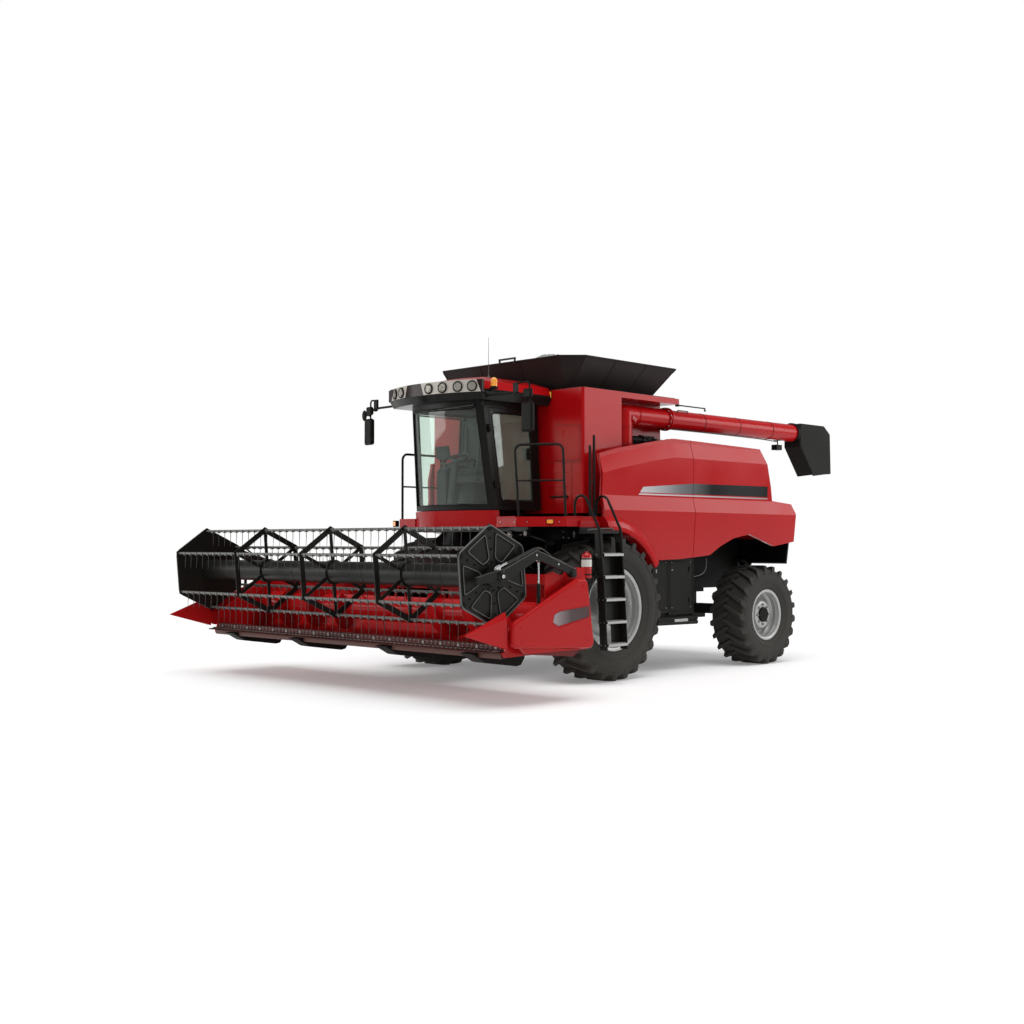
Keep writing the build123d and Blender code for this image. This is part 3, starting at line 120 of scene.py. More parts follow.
def buildFloor():
    floorMesh = bpy.data.meshes.new("floor")
    bm = bmesh.new()
    bmesh.ops.create_circle(bm, cap_ends=True, segments=64, radius=stage["floorRadius"])
    bm.to_mesh(floorMesh)
    bm.free()
    floor = staged("floor", floorMesh)
    material = bpy.data.materials.new("paleFloor")
    material.use_nodes = True
    tree = material.node_tree
    tree.nodes.clear()
    diffuse = add(tree, "BsdfDiffuse", {"Color": (stage["floor"],) * 3 + (1,)}).outputs[0]
    ray = add(tree, "LightPath").outputs
    seen = maths(tree, "MAXIMUM", ray["Is Camera Ray"], ray["Is Glossy Ray"])
    glow = add(tree, "Emission", {"Strength": maths(tree, "MULTIPLY", seen, stage["floorGlow"])}).outputs[0]
    both = add(tree, "AddShader", {0: diffuse, 1: glow}).outputs[0]
    add(tree, "OutputMaterial", {"Surface": both})
    floorMesh.materials.append(material)


def buildLamps():
    sun = staged("sun", bpy.data.lights.new("sun", "SUN"), stage["sunTurn"])
    sun.data.energy, sun.data.angle = stage["sun"], math.radians(stage["sunAngle"])
    for name, box in softboxes.items():
        light = staged(name, bpy.data.lights.new(name, "AREA"))
        light.data.shape = "RECTANGLE"
        light.data.size, light.data.size_y, light.data.energy = box["wide"], box["tall"], box["power"]
        light.location = at(*box["at"])
        light.rotation_euler = (at(*stage["aim"]) - light.location).to_track_quat("-Z", "Y").to_euler()
        light.visible_camera = False


buildCamera()
buildWorld()
buildFloor()
buildLamps()
print("stage ready")


# the shared finish: colour drift, worn roughness and a fine grain, all on Object coordinates
def buildFinishGroup():
    tree = bpy.data.node_groups.new("surfaceFinish", "ShaderNodeTree")
    for label, kind, value in (("Color", "Color", (0.5, 0.5, 0.5, 1)), ("Drift", "Float", 0.1), ("Dust", "Float", 0.0),
                               ("Dust Color", "Color", (0.34, 0.3, 0.26, 1)), ("Roughness", "Float", 0.4),
                               ("Grain Scale", "Float", 200.0)):
        tree.interface.new_socket(label, in_out="INPUT", socket_type="NodeSocket" + kind).default_value = value
    for label, kind in (("Color", "Color"), ("Roughness", "Float"), ("Height", "Float")):
        tree.interface.new_socket(label, in_out="OUTPUT", socket_type="NodeSocket" + kind)
    start = tree.nodes.new("NodeGroupInput").outputs
    end = tree.nodes.new("NodeGroupOutput")
    place = add(tree, "TexCoord").outputs["Object"]
    drift = add(tree, "TexNoise", {"Vector": place, "Scale": 1.3, "Detail": 5}).outputs["Fac"]
    fine = add(tree, "TexNoise", {"Vector": place, "Scale": start["Grain Scale"], "Detail": 3}).outputs["Fac"]
    span = {"From Min": 0.3, "From Max": 0.7, "To Min": -0.5, "To Max": 0.5}
    shade = add(tree, "MapRange", {"Value": drift, **span}).outputs[0]
    amount = maths(tree, "MULTIPLY_ADD", shade, start["Drift"], 1.0)
    tone = add(tree, "VectorMath", {0: start["Color"], "Scale": amount}, operation="SCALE").outputs[0]
    high = add(tree, "SeparateXYZ", {0: place}).outputs["Z"]
    low = add(tree, "MapRange", {"Value": high, "From Min": 2.2, "From Max": 0.0}).outputs[0]  # dust gathers near the ground
    dusty = maths(tree, "MULTIPLY", maths(tree, "MULTIPLY", low, drift), start["Dust"])
    mix = add(tree, "Mix", {"Factor": dusty, "A": tone, "B": start["Dust Color"]}, data_type="RGBA").outputs["Result"]
    rough = maths(tree, "MULTIPLY_ADD", shade, 0.12, start["Roughness"])
    settled = maths(tree, "MULTIPLY_ADD", dusty, 0.4, rough, use_clamp=True)
    feed(tree, end, {"Color": mix, "Roughness": settled, "Height": fine})
    return tree


finishGroup = buildFinishGroup()


def newMaterial(name):
    material = bpy.data.materials.new(name)
    material.use_nodes = True
    tree = material.node_tree
    return material, tree, tree.nodes["Principled BSDF"]


# each finish: colour, drift, dust, roughness, grain and bump, then what else differs from plain
finishes = {
    "redPaint": ((0.44, 0.004, 0.006), 0.08, 0.06, 0.2, 60, 0.008, {"shine": 0.16}),
    "darkRed": ((0.16, 0.01, 0.012), 0.25, 0.35, 0.4, 90, 0.03, {"coat": 0.2}),
    "blackPaint": ((0.007, 0.007, 0.006), 0.3, 0.05, 0.36, 150, 0.03, {"shine": 0.17}),
    "blackSteel": ((0.0045, 0.0045, 0.004), 0.35, 0.04, 0.5, 120, 0.06, {"shine": 0.08}),
    "silverPaint": ((0.42, 0.43, 0.42), 0.12, 0.15, 0.34, 140, 0.02, {"coat": 0.2, "metal": 0.35}),
    "tyreRubber": ((0.022, 0.021, 0.019), 0.3, 0.32, 0.72, 90, 0.12, {"dustColor": (0.16, 0.145, 0.12, 1)}),
    "flapPlastic": ((0.018, 0.013, 0.012), 0.9, 0.0, 0.5, 40, 0.08, {"shine": 0.15}),
    "spoutRubber": ((0.01, 0.0095, 0.008), 0.3, 0.0, 0.5, 70, 0.08, {"shine": 0.1}),
    "cabTrim": ((0.05, 0.05, 0.052), 0.15, 0.0, 0.6, 400, 0.1, {}),
    "darkPlastic": ((0.008, 0.008, 0.0068), 0.15, 0.02, 0.42, 300, 0.06, {"shine": 0.11}),
    "brightSteel": ((0.62, 0.62, 0.63), 0.08, 0.0, 0.22, 300, 0.01, {"metal": 1.0}),
    "wornSteel": ((0.33, 0.32, 0.31), 0.4, 0.2, 0.45, 120, 0.05, {"metal": 0.8}),
    "stepAlloy": ((0.42, 0.42, 0.41), 0.25, 0.2, 0.42, 90, 0.06, {"metal": 0.7}),
    "shadowRed": ((0.09, 0.003, 0.004), 0.1, 0.0, 0.5, 90, 0.02, {}),
    "bottleRed": ((0.42, 0.006, 0.008), 0.08, 0.1, 0.24, 120, 0.01, {"coat": 0.4}),
    "plainLabel": ((0.7, 0.7, 0.66), 0.12, 0.2, 0.5, 260, 0.01, {}),
    "rustSteel": ((0.085, 0.016, 0.013), 0.6, 0.15, 0.5, 160, 0.06, {"metal": 0.2}),
    "tineWire": ((0.075, 0.075, 0.07), 0.25, 0.0, 0.35, 300, 0.01, {"metal": 0.4}),
    "aerialGrey": ((0.1, 0.1, 0.1), 0.1, 0.0, 0.4, 200, 0.02, {}),
    # a grey lighter than the black paint: on the reel's tubes and along the edges of black parts it is a painted
    # highlight
    "greyAndPaintedHighlight": ((0.1, 0.1, 0.092), 0.2, 0.0, 0.3, 150, 0.02, {"shine": 0.5}),
    "lipBrown": ((0.1, 0.03, 0.022), 0.3, 0.1, 0.45, 120, 0.04, {}),
    "hoseRubber": ((0.02, 0.02, 0.019), 0.2, 0.1, 0.38, 240, 0.04, {"shine": 0.4}),
    "sealRubber": ((0.006, 0.006, 0.006), 0.1, 0.0, 0.5, 240, 0.03, {"shine": 0.2}),
    "seatWeave": ((0.03, 0.034, 0.036), 0.25, 0.0, 0.85, 900, 0.15, {}),
    "screenGlass": ((0.012, 0.018, 0.02), 0.1, 0.0, 0.12, 100, 0.002, {"coat": 0.3}),
    "liningGreen": ((0.03, 0.036, 0.028), 0.15, 0.0, 0.6, 300, 0.06, {}),
    "engineGrey": ((0.08, 0.08, 0.08), 0.4, 0.0, 0.5, 50, 0.1, {}),
}


def finished(name, base=None):
    color, drift, dust, rough, grain, bump, extra = finishes[base or name]
    material, tree, shader = newMaterial(name)
    inputs = {"Color": (*color, 1), "Drift": drift, "Dust": dust, "Roughness": rough, "Grain Scale": grain}
    group = add(tree, "Group", inputs, node_tree=finishGroup)
    if "dustColor" in extra:
        feed(tree, group, {"Dust Color": extra["dustColor"]})
    made = group.outputs
    relief = add(tree, "Bump", {"Strength": 1.0, "Distance": bump * 0.01, "Height": made["Height"]}).outputs["Normal"]
    feed(tree, shader, {"Base Color": made["Color"], "Roughness": made["Roughness"], "Normal": relief,
                        "Coat Weight": extra.get("coat", 0.0), "Coat Roughness": 0.12,
                        "Specular IOR Level": extra.get("shine", 0.3), "Metallic": extra.get("metal", 0.0)})
    materials[name] = material
    return tree, group


def buildPlain(name, inputs):
    material, tree, shader = newMaterial(name)
    feed(tree, shader, inputs)
    materials[name] = material
    return tree, shader


def buildGlass(name, film, coat):  # clear tinted panes with a bright coat and a thin film of dust
    tree, shader = buildPlain(name, {"Base Color": (0.80, 0.90, 0.84, 1), "Roughness": 0.02, "Transmission Weight": 1.0,
                                     "IOR": 1.1, "Coat Weight": coat, "Coat IOR": 1.7})
    dust = add(tree, "BsdfDiffuse", {"Color": (0.42, 0.46, 0.38, 1)}).outputs[0]
    cloud = add(tree, "TexNoise", {"Vector": add(tree, "TexCoord").outputs["Object"], "Scale": 1.4}).outputs["Fac"]
    share = add(tree, "MapRange", {"Value": cloud, "To Min": film * 0.5, "To Max": film * 1.6}).outputs[0]
    mix = add(tree, "MixShader", {0: share, 1: shader.outputs[0], 2: dust}).outputs[0]
    feed(tree, tree.nodes["Material Output"], {"Surface": mix})


# lenses get a faint painted glow in their own colour; no lamp lights them
def buildLens(name, color, glow):
    tree, shader = buildPlain(name, {"Base Color": (*color, 1), "Roughness": 0.15, "Coat Weight": 1.0,
                                     "Emission Color": (*color, 1), "Emission Strength": glow})
    rings = add(tree, "TexVoronoi", {"Vector": add(tree, "TexCoord").outputs["Object"], "Scale": 90}).outputs["Distance"]
    feed(tree, shader, {"Normal": add(tree, "Bump", {"Distance": 0.002, "Height": rings}).outputs["Normal"]})


materials = {}
for name in finishes:
    finished(name)
finished("seatCloth", "cabTrim")
buildGlass("tintedGlass", 0.02, 0.25)
buildGlass("doorGlass", 0.16, 0.6)
buildLens("amberLens", (0.95, 0.36, 0.03), 0.12)
buildLens("clearLens", (0.7, 0.7, 0.72), 0.05)
buildPlain("lampGlass", {"Base Color": (0.74, 0.72, 0.66, 1), "Roughness": 0.12, "Transmission Weight": 0.9, "IOR": 1.35})
buildPlain("mirrorSilver", {"Base Color": (0.8, 0.82, 0.83, 1), "Metallic": 1.0, "Roughness": 0.03})


# paint that changes over a piece, by place: each function gives (mask, paint) pairs, laid one over the other
class Masks:
    def __init__(self, tree):
        self.tree = tree
        self.x, self.y, self.z = add(tree, "SeparateXYZ", {0: add(tree, "TexCoord").outputs["Object"]}).outputs

    def sums(self, kind, a, b=0.0):
        return maths(self.tree, kind, a, b)

    def over(self, value, edge):
        return self.sums("GREATER_THAN", value, edge)

    def under(self, value, edge):
        return self.sums("LESS_THAN", value, edge)

    def both(self, a, b):
        return self.sums("MULTIPLY", a, b)

    def between(self, value, low, high):
        return self.both(self.over(value, low), self.under(value, high))

    def runY(self, start, end, low=0.0, high=1.0):  # from low to high between two places along the machine
        return add(self.tree, "MapRange", {"Value": self.y, "From Min": start + axleY, "From Max": end + axleY,
                                           "To Min": low, "To Max": high}).outputs[0]


stripe = {"top": ((0.77, 2.600), (1.90, 2.680), (3.86, 2.700)), "low": ((0.67, 2.490), (3.86, 2.500)),
          "slope": 0.9, "lineHigh": 0.020, "gap": 0.034, "end": 3.80, "fadeEnd": 3.0,
          "fade": ((0.0, (0.62, 0.63, 0.64)), (0.4, (0.17, 0.17, 0.18)), (0.72, (0.012, 0.012, 0.013))),
          "lineFade": ((0.0, (0.62, 0.63, 0.64)), (1.0, (0.3, 0.3, 0.31)))}
roofLook = {"lipTop": 3.838, "bandLow": 3.792, "bowRadius": 1.970, "bowMiddle": 0.197, "black": (0.009, 0.009, 0.008),
            "silver": (0.50, 0.47, 0.42), "badge": (0.022, 0.012, 0.011)}
bandFade = ((0.0, (0.34, 0.30, 0.31)), (0.22, (0.20, 0.15, 0.16)), (0.5, (0.05, 0.03, 0.034)), (1.0, (0.05, 0.012, 0.016)))


def stripeLayers(m):  # a blank stripe on the body panels that runs from silver to black, over a thin line
    (y0, z0), (y1, z1), (y2, z2) = stripe["top"]
    (b0, c0), (b1, c1) = stripe["low"]
    top = m.sums("ADD", m.runY(y0, y1, z0, z1), m.runY(y1, y2, 0.0, z2 - z1))
    above = m.sums("SUBTRACT", m.z, m.runY(b0, b1, c0, c1))
    starts = m.over(m.sums("SUBTRACT", m.y, m.both(above, stripe["slope"])), b0 + axleY)
    span = m.both(starts, m.under(m.y, stripe["end"] + axleY))
    band = m.both(m.both(m.under(m.z, top), m.over(above, stripe["gap"])), span)
    line = m.both(m.both(m.under(above, stripe["lineHigh"]), m.over(above, 0.0)), span)
    return [(band, ramp(m.tree, m.runY(b0, stripe["fadeEnd"]), stripe["fade"])),
            (line, ramp(m.tree, m.runY(b0, b1), stripe["lineFade"]))]


def roofLayers(m):  # dark lip, red cap, and silver lamp housings round a dark middle
    fromMiddle = m.sums("SUBTRACT", m.y, roofLook["bowMiddle"] + axleY)
    bow = m.sums("SQRT", m.sums("ADD", m.both(m.x, m.x), m.both(fromMiddle, fromMiddle)))
    ahead = m.both(m.over(bow, roofLook["bowRadius"] - 0.05), m.under(m.y, -1.25 + axleY))
    band = m.both(ahead, m.over(m.z, roofLook["bandLow"]))
    lean = m.both(m.sums("SUBTRACT", m.z, 3.87), 0.35)
    near = m.between(m.sums("ADD", m.x, lean), 0.035, 0.90)
    far = m.between(m.sums("SUBTRACT", m.x, lean), -0.76, -0.325)
    return [(m.under(m.z, roofLook["lipTop"]), roofLook["black"]), (band, roofLook["badge"]),
            (m.both(band, m.sums("MAXIMUM", near, far)), roofLook["silver"])]


def coverLayers(m):  # the end covers' lower rim is a duller red
    return [(m.under(m.z, 0.601), (0.13, 0.008, 0.009))]


def bandLayers(m):  # the blank band on the end covers
    return [(m.over(m.z, -1.0), ramp(m.tree, m.runY(-2.46, -1.85), bandFade))]


def platformLayers(m):  # the beams under the deck are black
    low = m.both(m.over(m.y, -1.02 + axleY), m.under(m.z, 2.042))
    return [(m.sums("MAXIMUM", m.under(m.z, 2.028), low), (0.009, 0.009, 0.008))]


def feederLayers(m):  # the whole feeder house is painted near-black
    return [(m.over(m.z, -1.0), (0.010, 0.008, 0.008))]


def ladderLayers(m):  # the plate that bolts to the deck is red
    plate = m.both(m.between(m.x, 1.697, 1.740), m.between(m.y, -0.516 + axleY, -0.104 + axleY))
    return [(m.both(plate, m.between(m.z, 2.035, 2.130)), finishes["redPaint"][0])]


def hoodLayers(m):  # a guess: the lowest strip of the rear hood is black
    return [(m.under(m.z, 1.875), finishes["blackSteel"][0])]


def layeredPaint(name, base, layers):
    tree, group = finished(name, base)
    color = (*finishes[base][0], 1)
    for mask, paint in layers(Masks(tree)):
        paint = (*paint, 1) if isinstance(paint, tuple) else paint
        color = add(tree, "Mix", {"Factor": mask, "A": color, "B": paint}, data_type="RGBA").outputs["Result"]
    feed(tree, group, {"Color": color})


layeredPaint("stripedPaint", "redPaint", stripeLayers)
layeredPaint("roofPaint", "redPaint", roofLayers)
layeredPaint("coverPaint", "redPaint", coverLayers)
layeredPaint("coverBand", "silverPaint", bandLayers)
layeredPaint("hoodPaint", "redPaint", hoodLayers)
layeredPaint("ladderPaint", "blackPaint", ladderLayers)
layeredPaint("platformPaint", "redPaint", platformLayers)
layeredPaint("feederPaint", "redPaint", feederLayers)

nodeFinish = {
    "blackSteel": "main_frame front_axle rear_axle knuckle_left knuckle_right threshing_body feeder_trunnions",
    "blackPaint": "engine_deck cab_frame cab_door handrails reel_arms reel lift_barrels reel_barrels tine_bar_1 tine_bar_2 "
                  "tine_bar_3 tine_bar_4 tine_bar_5 tine_bar_6",
    "redPaint": "grain_tank unload_post unloading_tube header_frame header_auger",
    "stripedPaint": "side_panel_front_left side_panel_front_right side_panel_rear_left side_panel_rear_right",
    "tyreRubber": "front_tyre_left front_tyre_right rear_tyre_left rear_tyre_right",
    "silverPaint": "front_rim_left front_rim_right rear_rim_left rear_rim_right",
    "engineGrey": "engine_block", "darkPlastic": "service_boxes mirrors", "flapPlastic": "tank_extension",
    "wornSteel": "rising_auger", "hoodPaint": "rear_hood", "tintedGlass": "windscreen side_window",
    "doorGlass": "door_glass", "roofPaint": "cab_roof", "seatCloth": "seat", "cabTrim": "steering_column console",
    "amberLens": "beacon", "platformPaint": "platform", "ladderPaint": "ladder", "spoutRubber": "spout",
    "feederPaint": "feeder_house", "coverPaint": "end_covers", "rustSteel": "cutter_bar",
    "brightSteel": "lift_rods reel_rods",
}
for finish, names in nodeFinish.items():
    for name in names.split():
        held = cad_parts[name].data.materials
        held.clear()
        held.append(materials[finish])
print("materials ready")

# mesh helpers: a place given as a tuple is measured from the front axle, a Vector is taken as it is
weldWithin, bevelAngle = 1e-5, math.radians(35)


def placed(point):
    return point if isinstance(point, Vector) else at(*point)


def newShape():
    return bmesh.new()


def shapes(count):
    return [newShape() for _ in range(count)]


def slab(bm, low, high, turn=None):  # a box between two corners, turned about its middle
    low, high = placed(low), placed(high)
    matrix = Matrix.Translation((low + high) / 2) @ (turn or Matrix.Identity(4)) @ Matrix.Diagonal((*(high - low), 1))
    bmesh.ops.create_cube(bm, size=1, matrix=matrix)


def slabs(bm, *rows):
    for row in rows:
        slab(bm, *row)


def bar(bm, start, end, radius, sides=16, radiusEnd=None):  # a round bar or cone between two points
    start, end = placed(start), placed(end)
    run = end - start
    matrix = Matrix.Translation((start + end) / 2) @ run.to_track_quat("Z", "Y").to_matrix().to_4x4()
    bmesh.ops.create_cone(bm, cap_ends=True, segments=sides, radius1=radius,
                          radius2=radius if radiusEnd is None else radiusEnd, depth=run.length, matrix=matrix)


def bars(bm, *rows):
    for row in rows:
        bar(bm, *row)


def closedBars(bm, points, radius, sides):
    for a, b in zip(points, points[1:] + points[:1]):
        bar(bm, a, b, radius, sides)


def ball(bm, middle, radius, squash=(1, 1, 1), detail=16):
    matrix = Matrix.Translation(placed(middle)) @ Matrix.Diagonal((*squash, 1))
    bmesh.ops.create_uvsphere(bm, u_segments=detail, v_segments=detail // 2, radius=radius, matrix=matrix)


def outline(bm, points, depth):  # a flat outline pulled along a vector
    face = bm.faces.new([bm.verts.new(placed(p)) for p in points])
    made = bmesh.ops.extrude_face_region(bm, geom=[face])["geom"]
    bmesh.ops.translate(bm, verts=[v for v in made if isinstance(v, bmesh.types.BMVert)], vec=depth)


def turned(bm, profile, middle, axis=(1, 0, 0), steps=64, closed=True):  # (along, radius) points spun round an axis
    axis, middle = Vector(axis).normalized(), placed(middle)
    out = Vector((0, 0, 1)) if abs(axis.z) < 0.9 else Vector((0, 1, 0))
    verts = [bm.verts.new(middle + axis * along + out * radius) for along, radius in profile]
    edges = [bm.edges.new((verts[i], verts[i + 1])) for i in range(len(verts) - 1)]
    if closed:
        edges.append(bm.edges.new((verts[-1], verts[0])))
    bmesh.ops.spin(bm, geom=verts + edges, cent=middle, axis=axis, angle=2 * math.pi, steps=steps, use_merge=True)


def hoop(bm, start, end, inner, outer, middle, axis=(1, 0, 0), steps=64):  # a flat band round an axis
    turned(bm, [(start, inner), (start, outer), (end, outer), (end, inner)], middle, axis, steps)


def finishPiece(bm, name, finish, body="machine", bevel=0.0, segments=2, sharp=40, weld=False):
    if weld:
        bmesh.ops.remove_doubles(bm, verts=bm.verts, dist=weldWithin)
    bmesh.ops.recalc_face_normals(bm, faces=bm.faces)
    mesh = bpy.data.meshes.new(name)
    bm.to_mesh(mesh)
    bm.free()
    mesh.materials.append(materials[finish])
    mesh.shade_smooth()
    mesh.set_sharp_from_angle(angle=math.radians(sharp))
    piece = bpy.data.objects.new(name, mesh)
    scene.collection.objects.link(piece)
    if bevel:
        edge = piece.modifiers.new("softEdges", "BEVEL")
        edge.width, edge.segments, edge.limit_method, edge.angle_limit = bevel, segments, "ANGLE", bevelAngle
    return ridden(piece, body)


def ridden(piece, body):
    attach(piece, body)
    return piece


def pipe(name, points, radius, finish, body="machine", order=3):  # a bent pipe or clipped hose
    curve = bpy.data.curves.new(name, "CURVE")
    curve.dimensions, curve.bevel_depth, curve.bevel_resolution = "3D", radius, 2
    curve.resolution_u, curve.use_fill_caps = 6, True
    spline = curve.splines.new("NURBS")
    spline.points.add(len(points) - 1)
    for point, place in zip(spline.points, points):
        point.co = (*placed(place), 1)
    spline.order_u, spline.use_endpoint_u = order, True
    curve.materials.append(materials[finish])
    piece = bpy.data.objects.new(name, curve)
    scene.collection.objects.link(piece)
    return ridden(piece, body)


# wheels: tyre with cleated tread, rim with its flanges and bolted disc
wheels = {
    "front": {"x": 1.62, "y": 0.0, "r": 0.955, "width": 0.615, "rim": 0.533, "lugs": 25, "hub": 0.15,
              "disc": 0.172, "bolts": 12, "body": "front_wheel_"},
    "rear": {"x": 1.665, "y": 3.512, "r": 0.745, "width": 0.59, "rim": 0.356, "lugs": 21, "hub": 0.11,
             "disc": 0.165, "bolts": 8, "body": "rear_wheel_"},
}
tread = {"lugHeight": 0.046, "lugWidth": 0.062, "sweep": 0.205, "wrap": 0.062, "overlap": 0.035}


def tyreProfile(w):
    half, carcass, rim = w["width"] / 2, w["r"] - tread["lugHeight"], w["rim"]
    rise = carcass - rim
    return [(-half * 0.78, rim - 0.002), (-half * 0.79, rim + 0.03), (-half * 0.86, rim + 0.045),
        (-half * 0.93, rim + rise * 0.3), (-half * 0.985, rim + rise * 0.47), (-half * 0.99, rim + rise * 0.6),
        (-half * 0.975, rim + rise * 0.76), (-half * 0.945, carcass - 0.036), (-half * 0.87, carcass - 0.016),
        (-half * 0.6, carcass - 0.004), (0, carcass + 0.002)]


def buildTyre(end, side, sign):
    w = wheels[end]
    middle = at(sign * w["x"], w["y"], w["r"])
    bm = newShape()
    half = tyreProfile(w)
    profile = half + [(-along, radius) for along, radius in reversed(half[:-1])]
    turned(bm, profile, middle, steps=72)
    # bead ring and moulded rings on each wall
    for outwards in (-1, 1):
        for level in (0.36, 0.8):
            radius = w["rim"] + (w["r"] - tread["lugHeight"] - w["rim"]) * level
            along = w["width"] / 2 * (0.95 if level < 0.5 else 0.968) * outwards
            turned(bm, [(along - 0.004, radius - 0.008), (along + 0.004 * outwards, radius),
                (along - 0.004, radius + 0.008)], middle, steps=72)
    lug = bmesh.new()
    bmesh.ops.create_cube(lug, size=1)
    lengthwise = [e for e in lug.edges if abs(e.verts[0].co.x - e.verts[1].co.x) > 0.5]
    bmesh.ops.subdivide_edges(lug, edges=lengthwise, cuts=7, use_grid_fill=True)
    carcass = w["r"] - tread["lugHeight"]
    reach = w["width"] / 2
    for v in lug.verts:
        along, across, high = v.co.x + 0.5, v.co.y, v.co.z + 0.5  # 0 at the middle of the tread, 1 at the shoulder
        x = -tread["overlap"] + along * (reach + tread["overlap"] + tread["wrap"] * 0.4)
        over = max(0.0, x - reach * 0.965)
        x = min(x, reach * 0.965) + over * 0.2
        base = carcass - 0.012 - 0.03 * max(0.0, (x / reach - 0.8) / 0.2) ** 2 - over * 1.35
        top = w["r"] - 0.012 * max(0.0, (x / reach - 0.6) / 0.4) ** 2 - over * 1.5
        radius = base + (top - base) * high
        wide = tread["lugWidth"] * (1.25 - 0.45 * high) * (1.25 - 0.3 * (1 - along))
        swing = tread["sweep"] * ((1 - along) ** 0.9 - 0.5)
        angle = (swing + across * wide) / w["r"]
        v.co = Vector((x, radius * math.sin(angle), radius * math.cos(angle)))
    lugMesh = bpy.data.meshes.new("lug")
    lug.to_mesh(lugMesh)
    lug.free()
    pitch = 2 * math.pi / w["lugs"]
    for half in (1, -1):
        for i in range(w["lugs"]):
            before = len(bm.verts)
            bm.from_mesh(lugMesh)
            bm.verts.ensure_lookup_table()
            fresh = bm.verts[before:]
            turn = Matrix.Rotation(i * pitch + (pitch / 2 if half < 0 else 0), 4, "X")
            bmesh.ops.transform(bm, matrix=Matrix.Translation(middle) @ turn @ Matrix.Diagonal((half, 1, 1, 1)),
                verts=fresh)
    bpy.data.meshes.remove(lugMesh)
    tyre = finishPiece(bm, f"{end}Tyre.{side}", "tyreRubber", w["body"] + side, sharp=28)
    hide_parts(f"{end}_tyre_{side}")


def buildRim(end, side, sign):
    w = wheels[end]
    middle = at(sign * w["x"], w["y"], w["r"])
    half, rim = w["width"] / 2 * 0.8, w["rim"]
    bm = newShape()
    out = [(half + 0.012, rim + 0.026), (half - 0.001, rim + 0.026), (half - 0.001, rim - 0.002),
        (half * 0.5, rim - 0.003), (half * 0.3, rim - 0.045), (0, rim - 0.045)]
    inner = [(0, rim - 0.059), (half * 0.33, rim - 0.059), (half * 0.4, rim - 0.052), (half * 0.53, rim - 0.018),
        (half * 0.72, rim - 0.016), (half * 0.78, rim - 0.024), (half * 0.84, rim - 0.016), (half + 0.002, rim - 0.016),
        (half + 0.008, rim - 0.004), (half + 0.012, rim + 0.012)]
    profile = out + [(-a, r) for a, r in reversed(out[:-1])] + [(-a, r) for a, r in reversed(inner)] + inner[1:]
    turned(bm, profile, middle, steps=72)
    disc = sign * w["disc"]
    hub, barIn = w["hub"], rim - 0.055
    dish = [(disc + 0.009, hub + 0.004), (disc + 0.009, hub * 1.62), (disc + 0.002 * sign, hub * 1.8),
        (sign * half * 0.3, barIn * 0.8), (sign * half * 0.26, barIn), (sign * half * 0.2, barIn),
        (sign * half * 0.22, barIn * 0.78), (disc - 0.012 * sign, hub * 1.75), (disc - 0.009, hub + 0.004)]
    turned(bm, dish, middle, steps=72)
    piece = finishPiece(bm, f"{end}Rim.{side}", "silverPaint", w["body"] + side, sharp=30)
    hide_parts(f"{end}_rim_{side}")
    # bolts round the hub
    bm = newShape()
    for i in range(w["bolts"]):
        a = 2 * math.pi * i / w["bolts"]
        place = middle + Vector((0, math.cos(a), math.sin(a))) * hub * 1.35
        bars(bm, (place + Vector((disc - 0.01 * sign, 0, 0)), place + Vector((disc + 0.034 * sign, 0, 0)), 0.014, 6),
            (place + Vector((disc, 0, 0)), place + Vector((disc + 0.016 * sign, 0, 0)), 0.021, 12))
    finishPiece(bm, f"{end}Bolts.{side}", "wornSteel", w["body"] + side, sharp=30)


for end in wheels:
    for side, sign in handed:
        buildTyre(end, side, sign)
        buildRim(end, side, sign)
print("wheels ready")


# roof lamps, aerial and beacon
lamps = {"xs": (-0.64, -0.443, 0.165, 0.398, 0.626, 0.819), "z": 3.868, "radius": 0.062, "front": -1.773}
aerial = {"foot": (0.51, -1.0, 4.045), "top": 4.6}
beacon = {"x": 0.997, "y": -1.375, "z": 3.83}


def buildRoofLamps():
    rings, bowls, lenses = shapes(3)
    for x in lamps["xs"]:
        lean = math.asin(x / roofLook["bowRadius"])
        out = Vector((math.sin(lean), -math.cos(lean), 0))
        middle = at(x, lamps["front"] + roofLook["bowRadius"] * (1 - math.cos(lean)), lamps["z"])
        r = lamps["radius"]
        turned(rings, [(0.002, r + 0.009), (0.014, r + 0.01), (0.021, r + 0.004), (0.02, r - 0.004), (0.012, r - 0.007),
            (0.002, r - 0.007)], middle, out, steps=36)
        turned(bowls, [(0.0125, 0), (0.0125, r - 0.008), (0.0145, r - 0.008), (0.0145, r - 0.018), (0.0135, 0.022),
            (0.015, 0.012), (0.015, 0)], middle, out, steps=36)
        turned(lenses, [(0.0245, 0), (0.0235, 0.024), (0.0205, 0.044), (0.0165, r - 0.007), (0.0158, r - 0.007),
            (0.0158, 0)], middle, out, steps=36)
    finishPiece(rings, "roofLampRings", "darkPlastic", weld=True)
    finishPiece(bowls, "roofLampBowls", "silverPaint", sharp=50, weld=True)
    finishPiece(lenses, "roofLampLenses", "lampGlass", sharp=50, weld=True)


def buildAerial():
    bm = newShape()
    foot = at(*aerial["foot"])
    turned(bm, [(-0.03, 0), (-0.03, 0.028), (0.008, 0.026), (0.03, 0.014), (0.045, 0.006), (0.2, 0.0035),
        (aerial["top"] - foot.z, 0.0022), (aerial["top"] - foot.z, 0)], foot, (0, 0, 1), steps=16)
    finishPiece(bm, "aerial", "aerialGrey", sharp=50, weld=True)


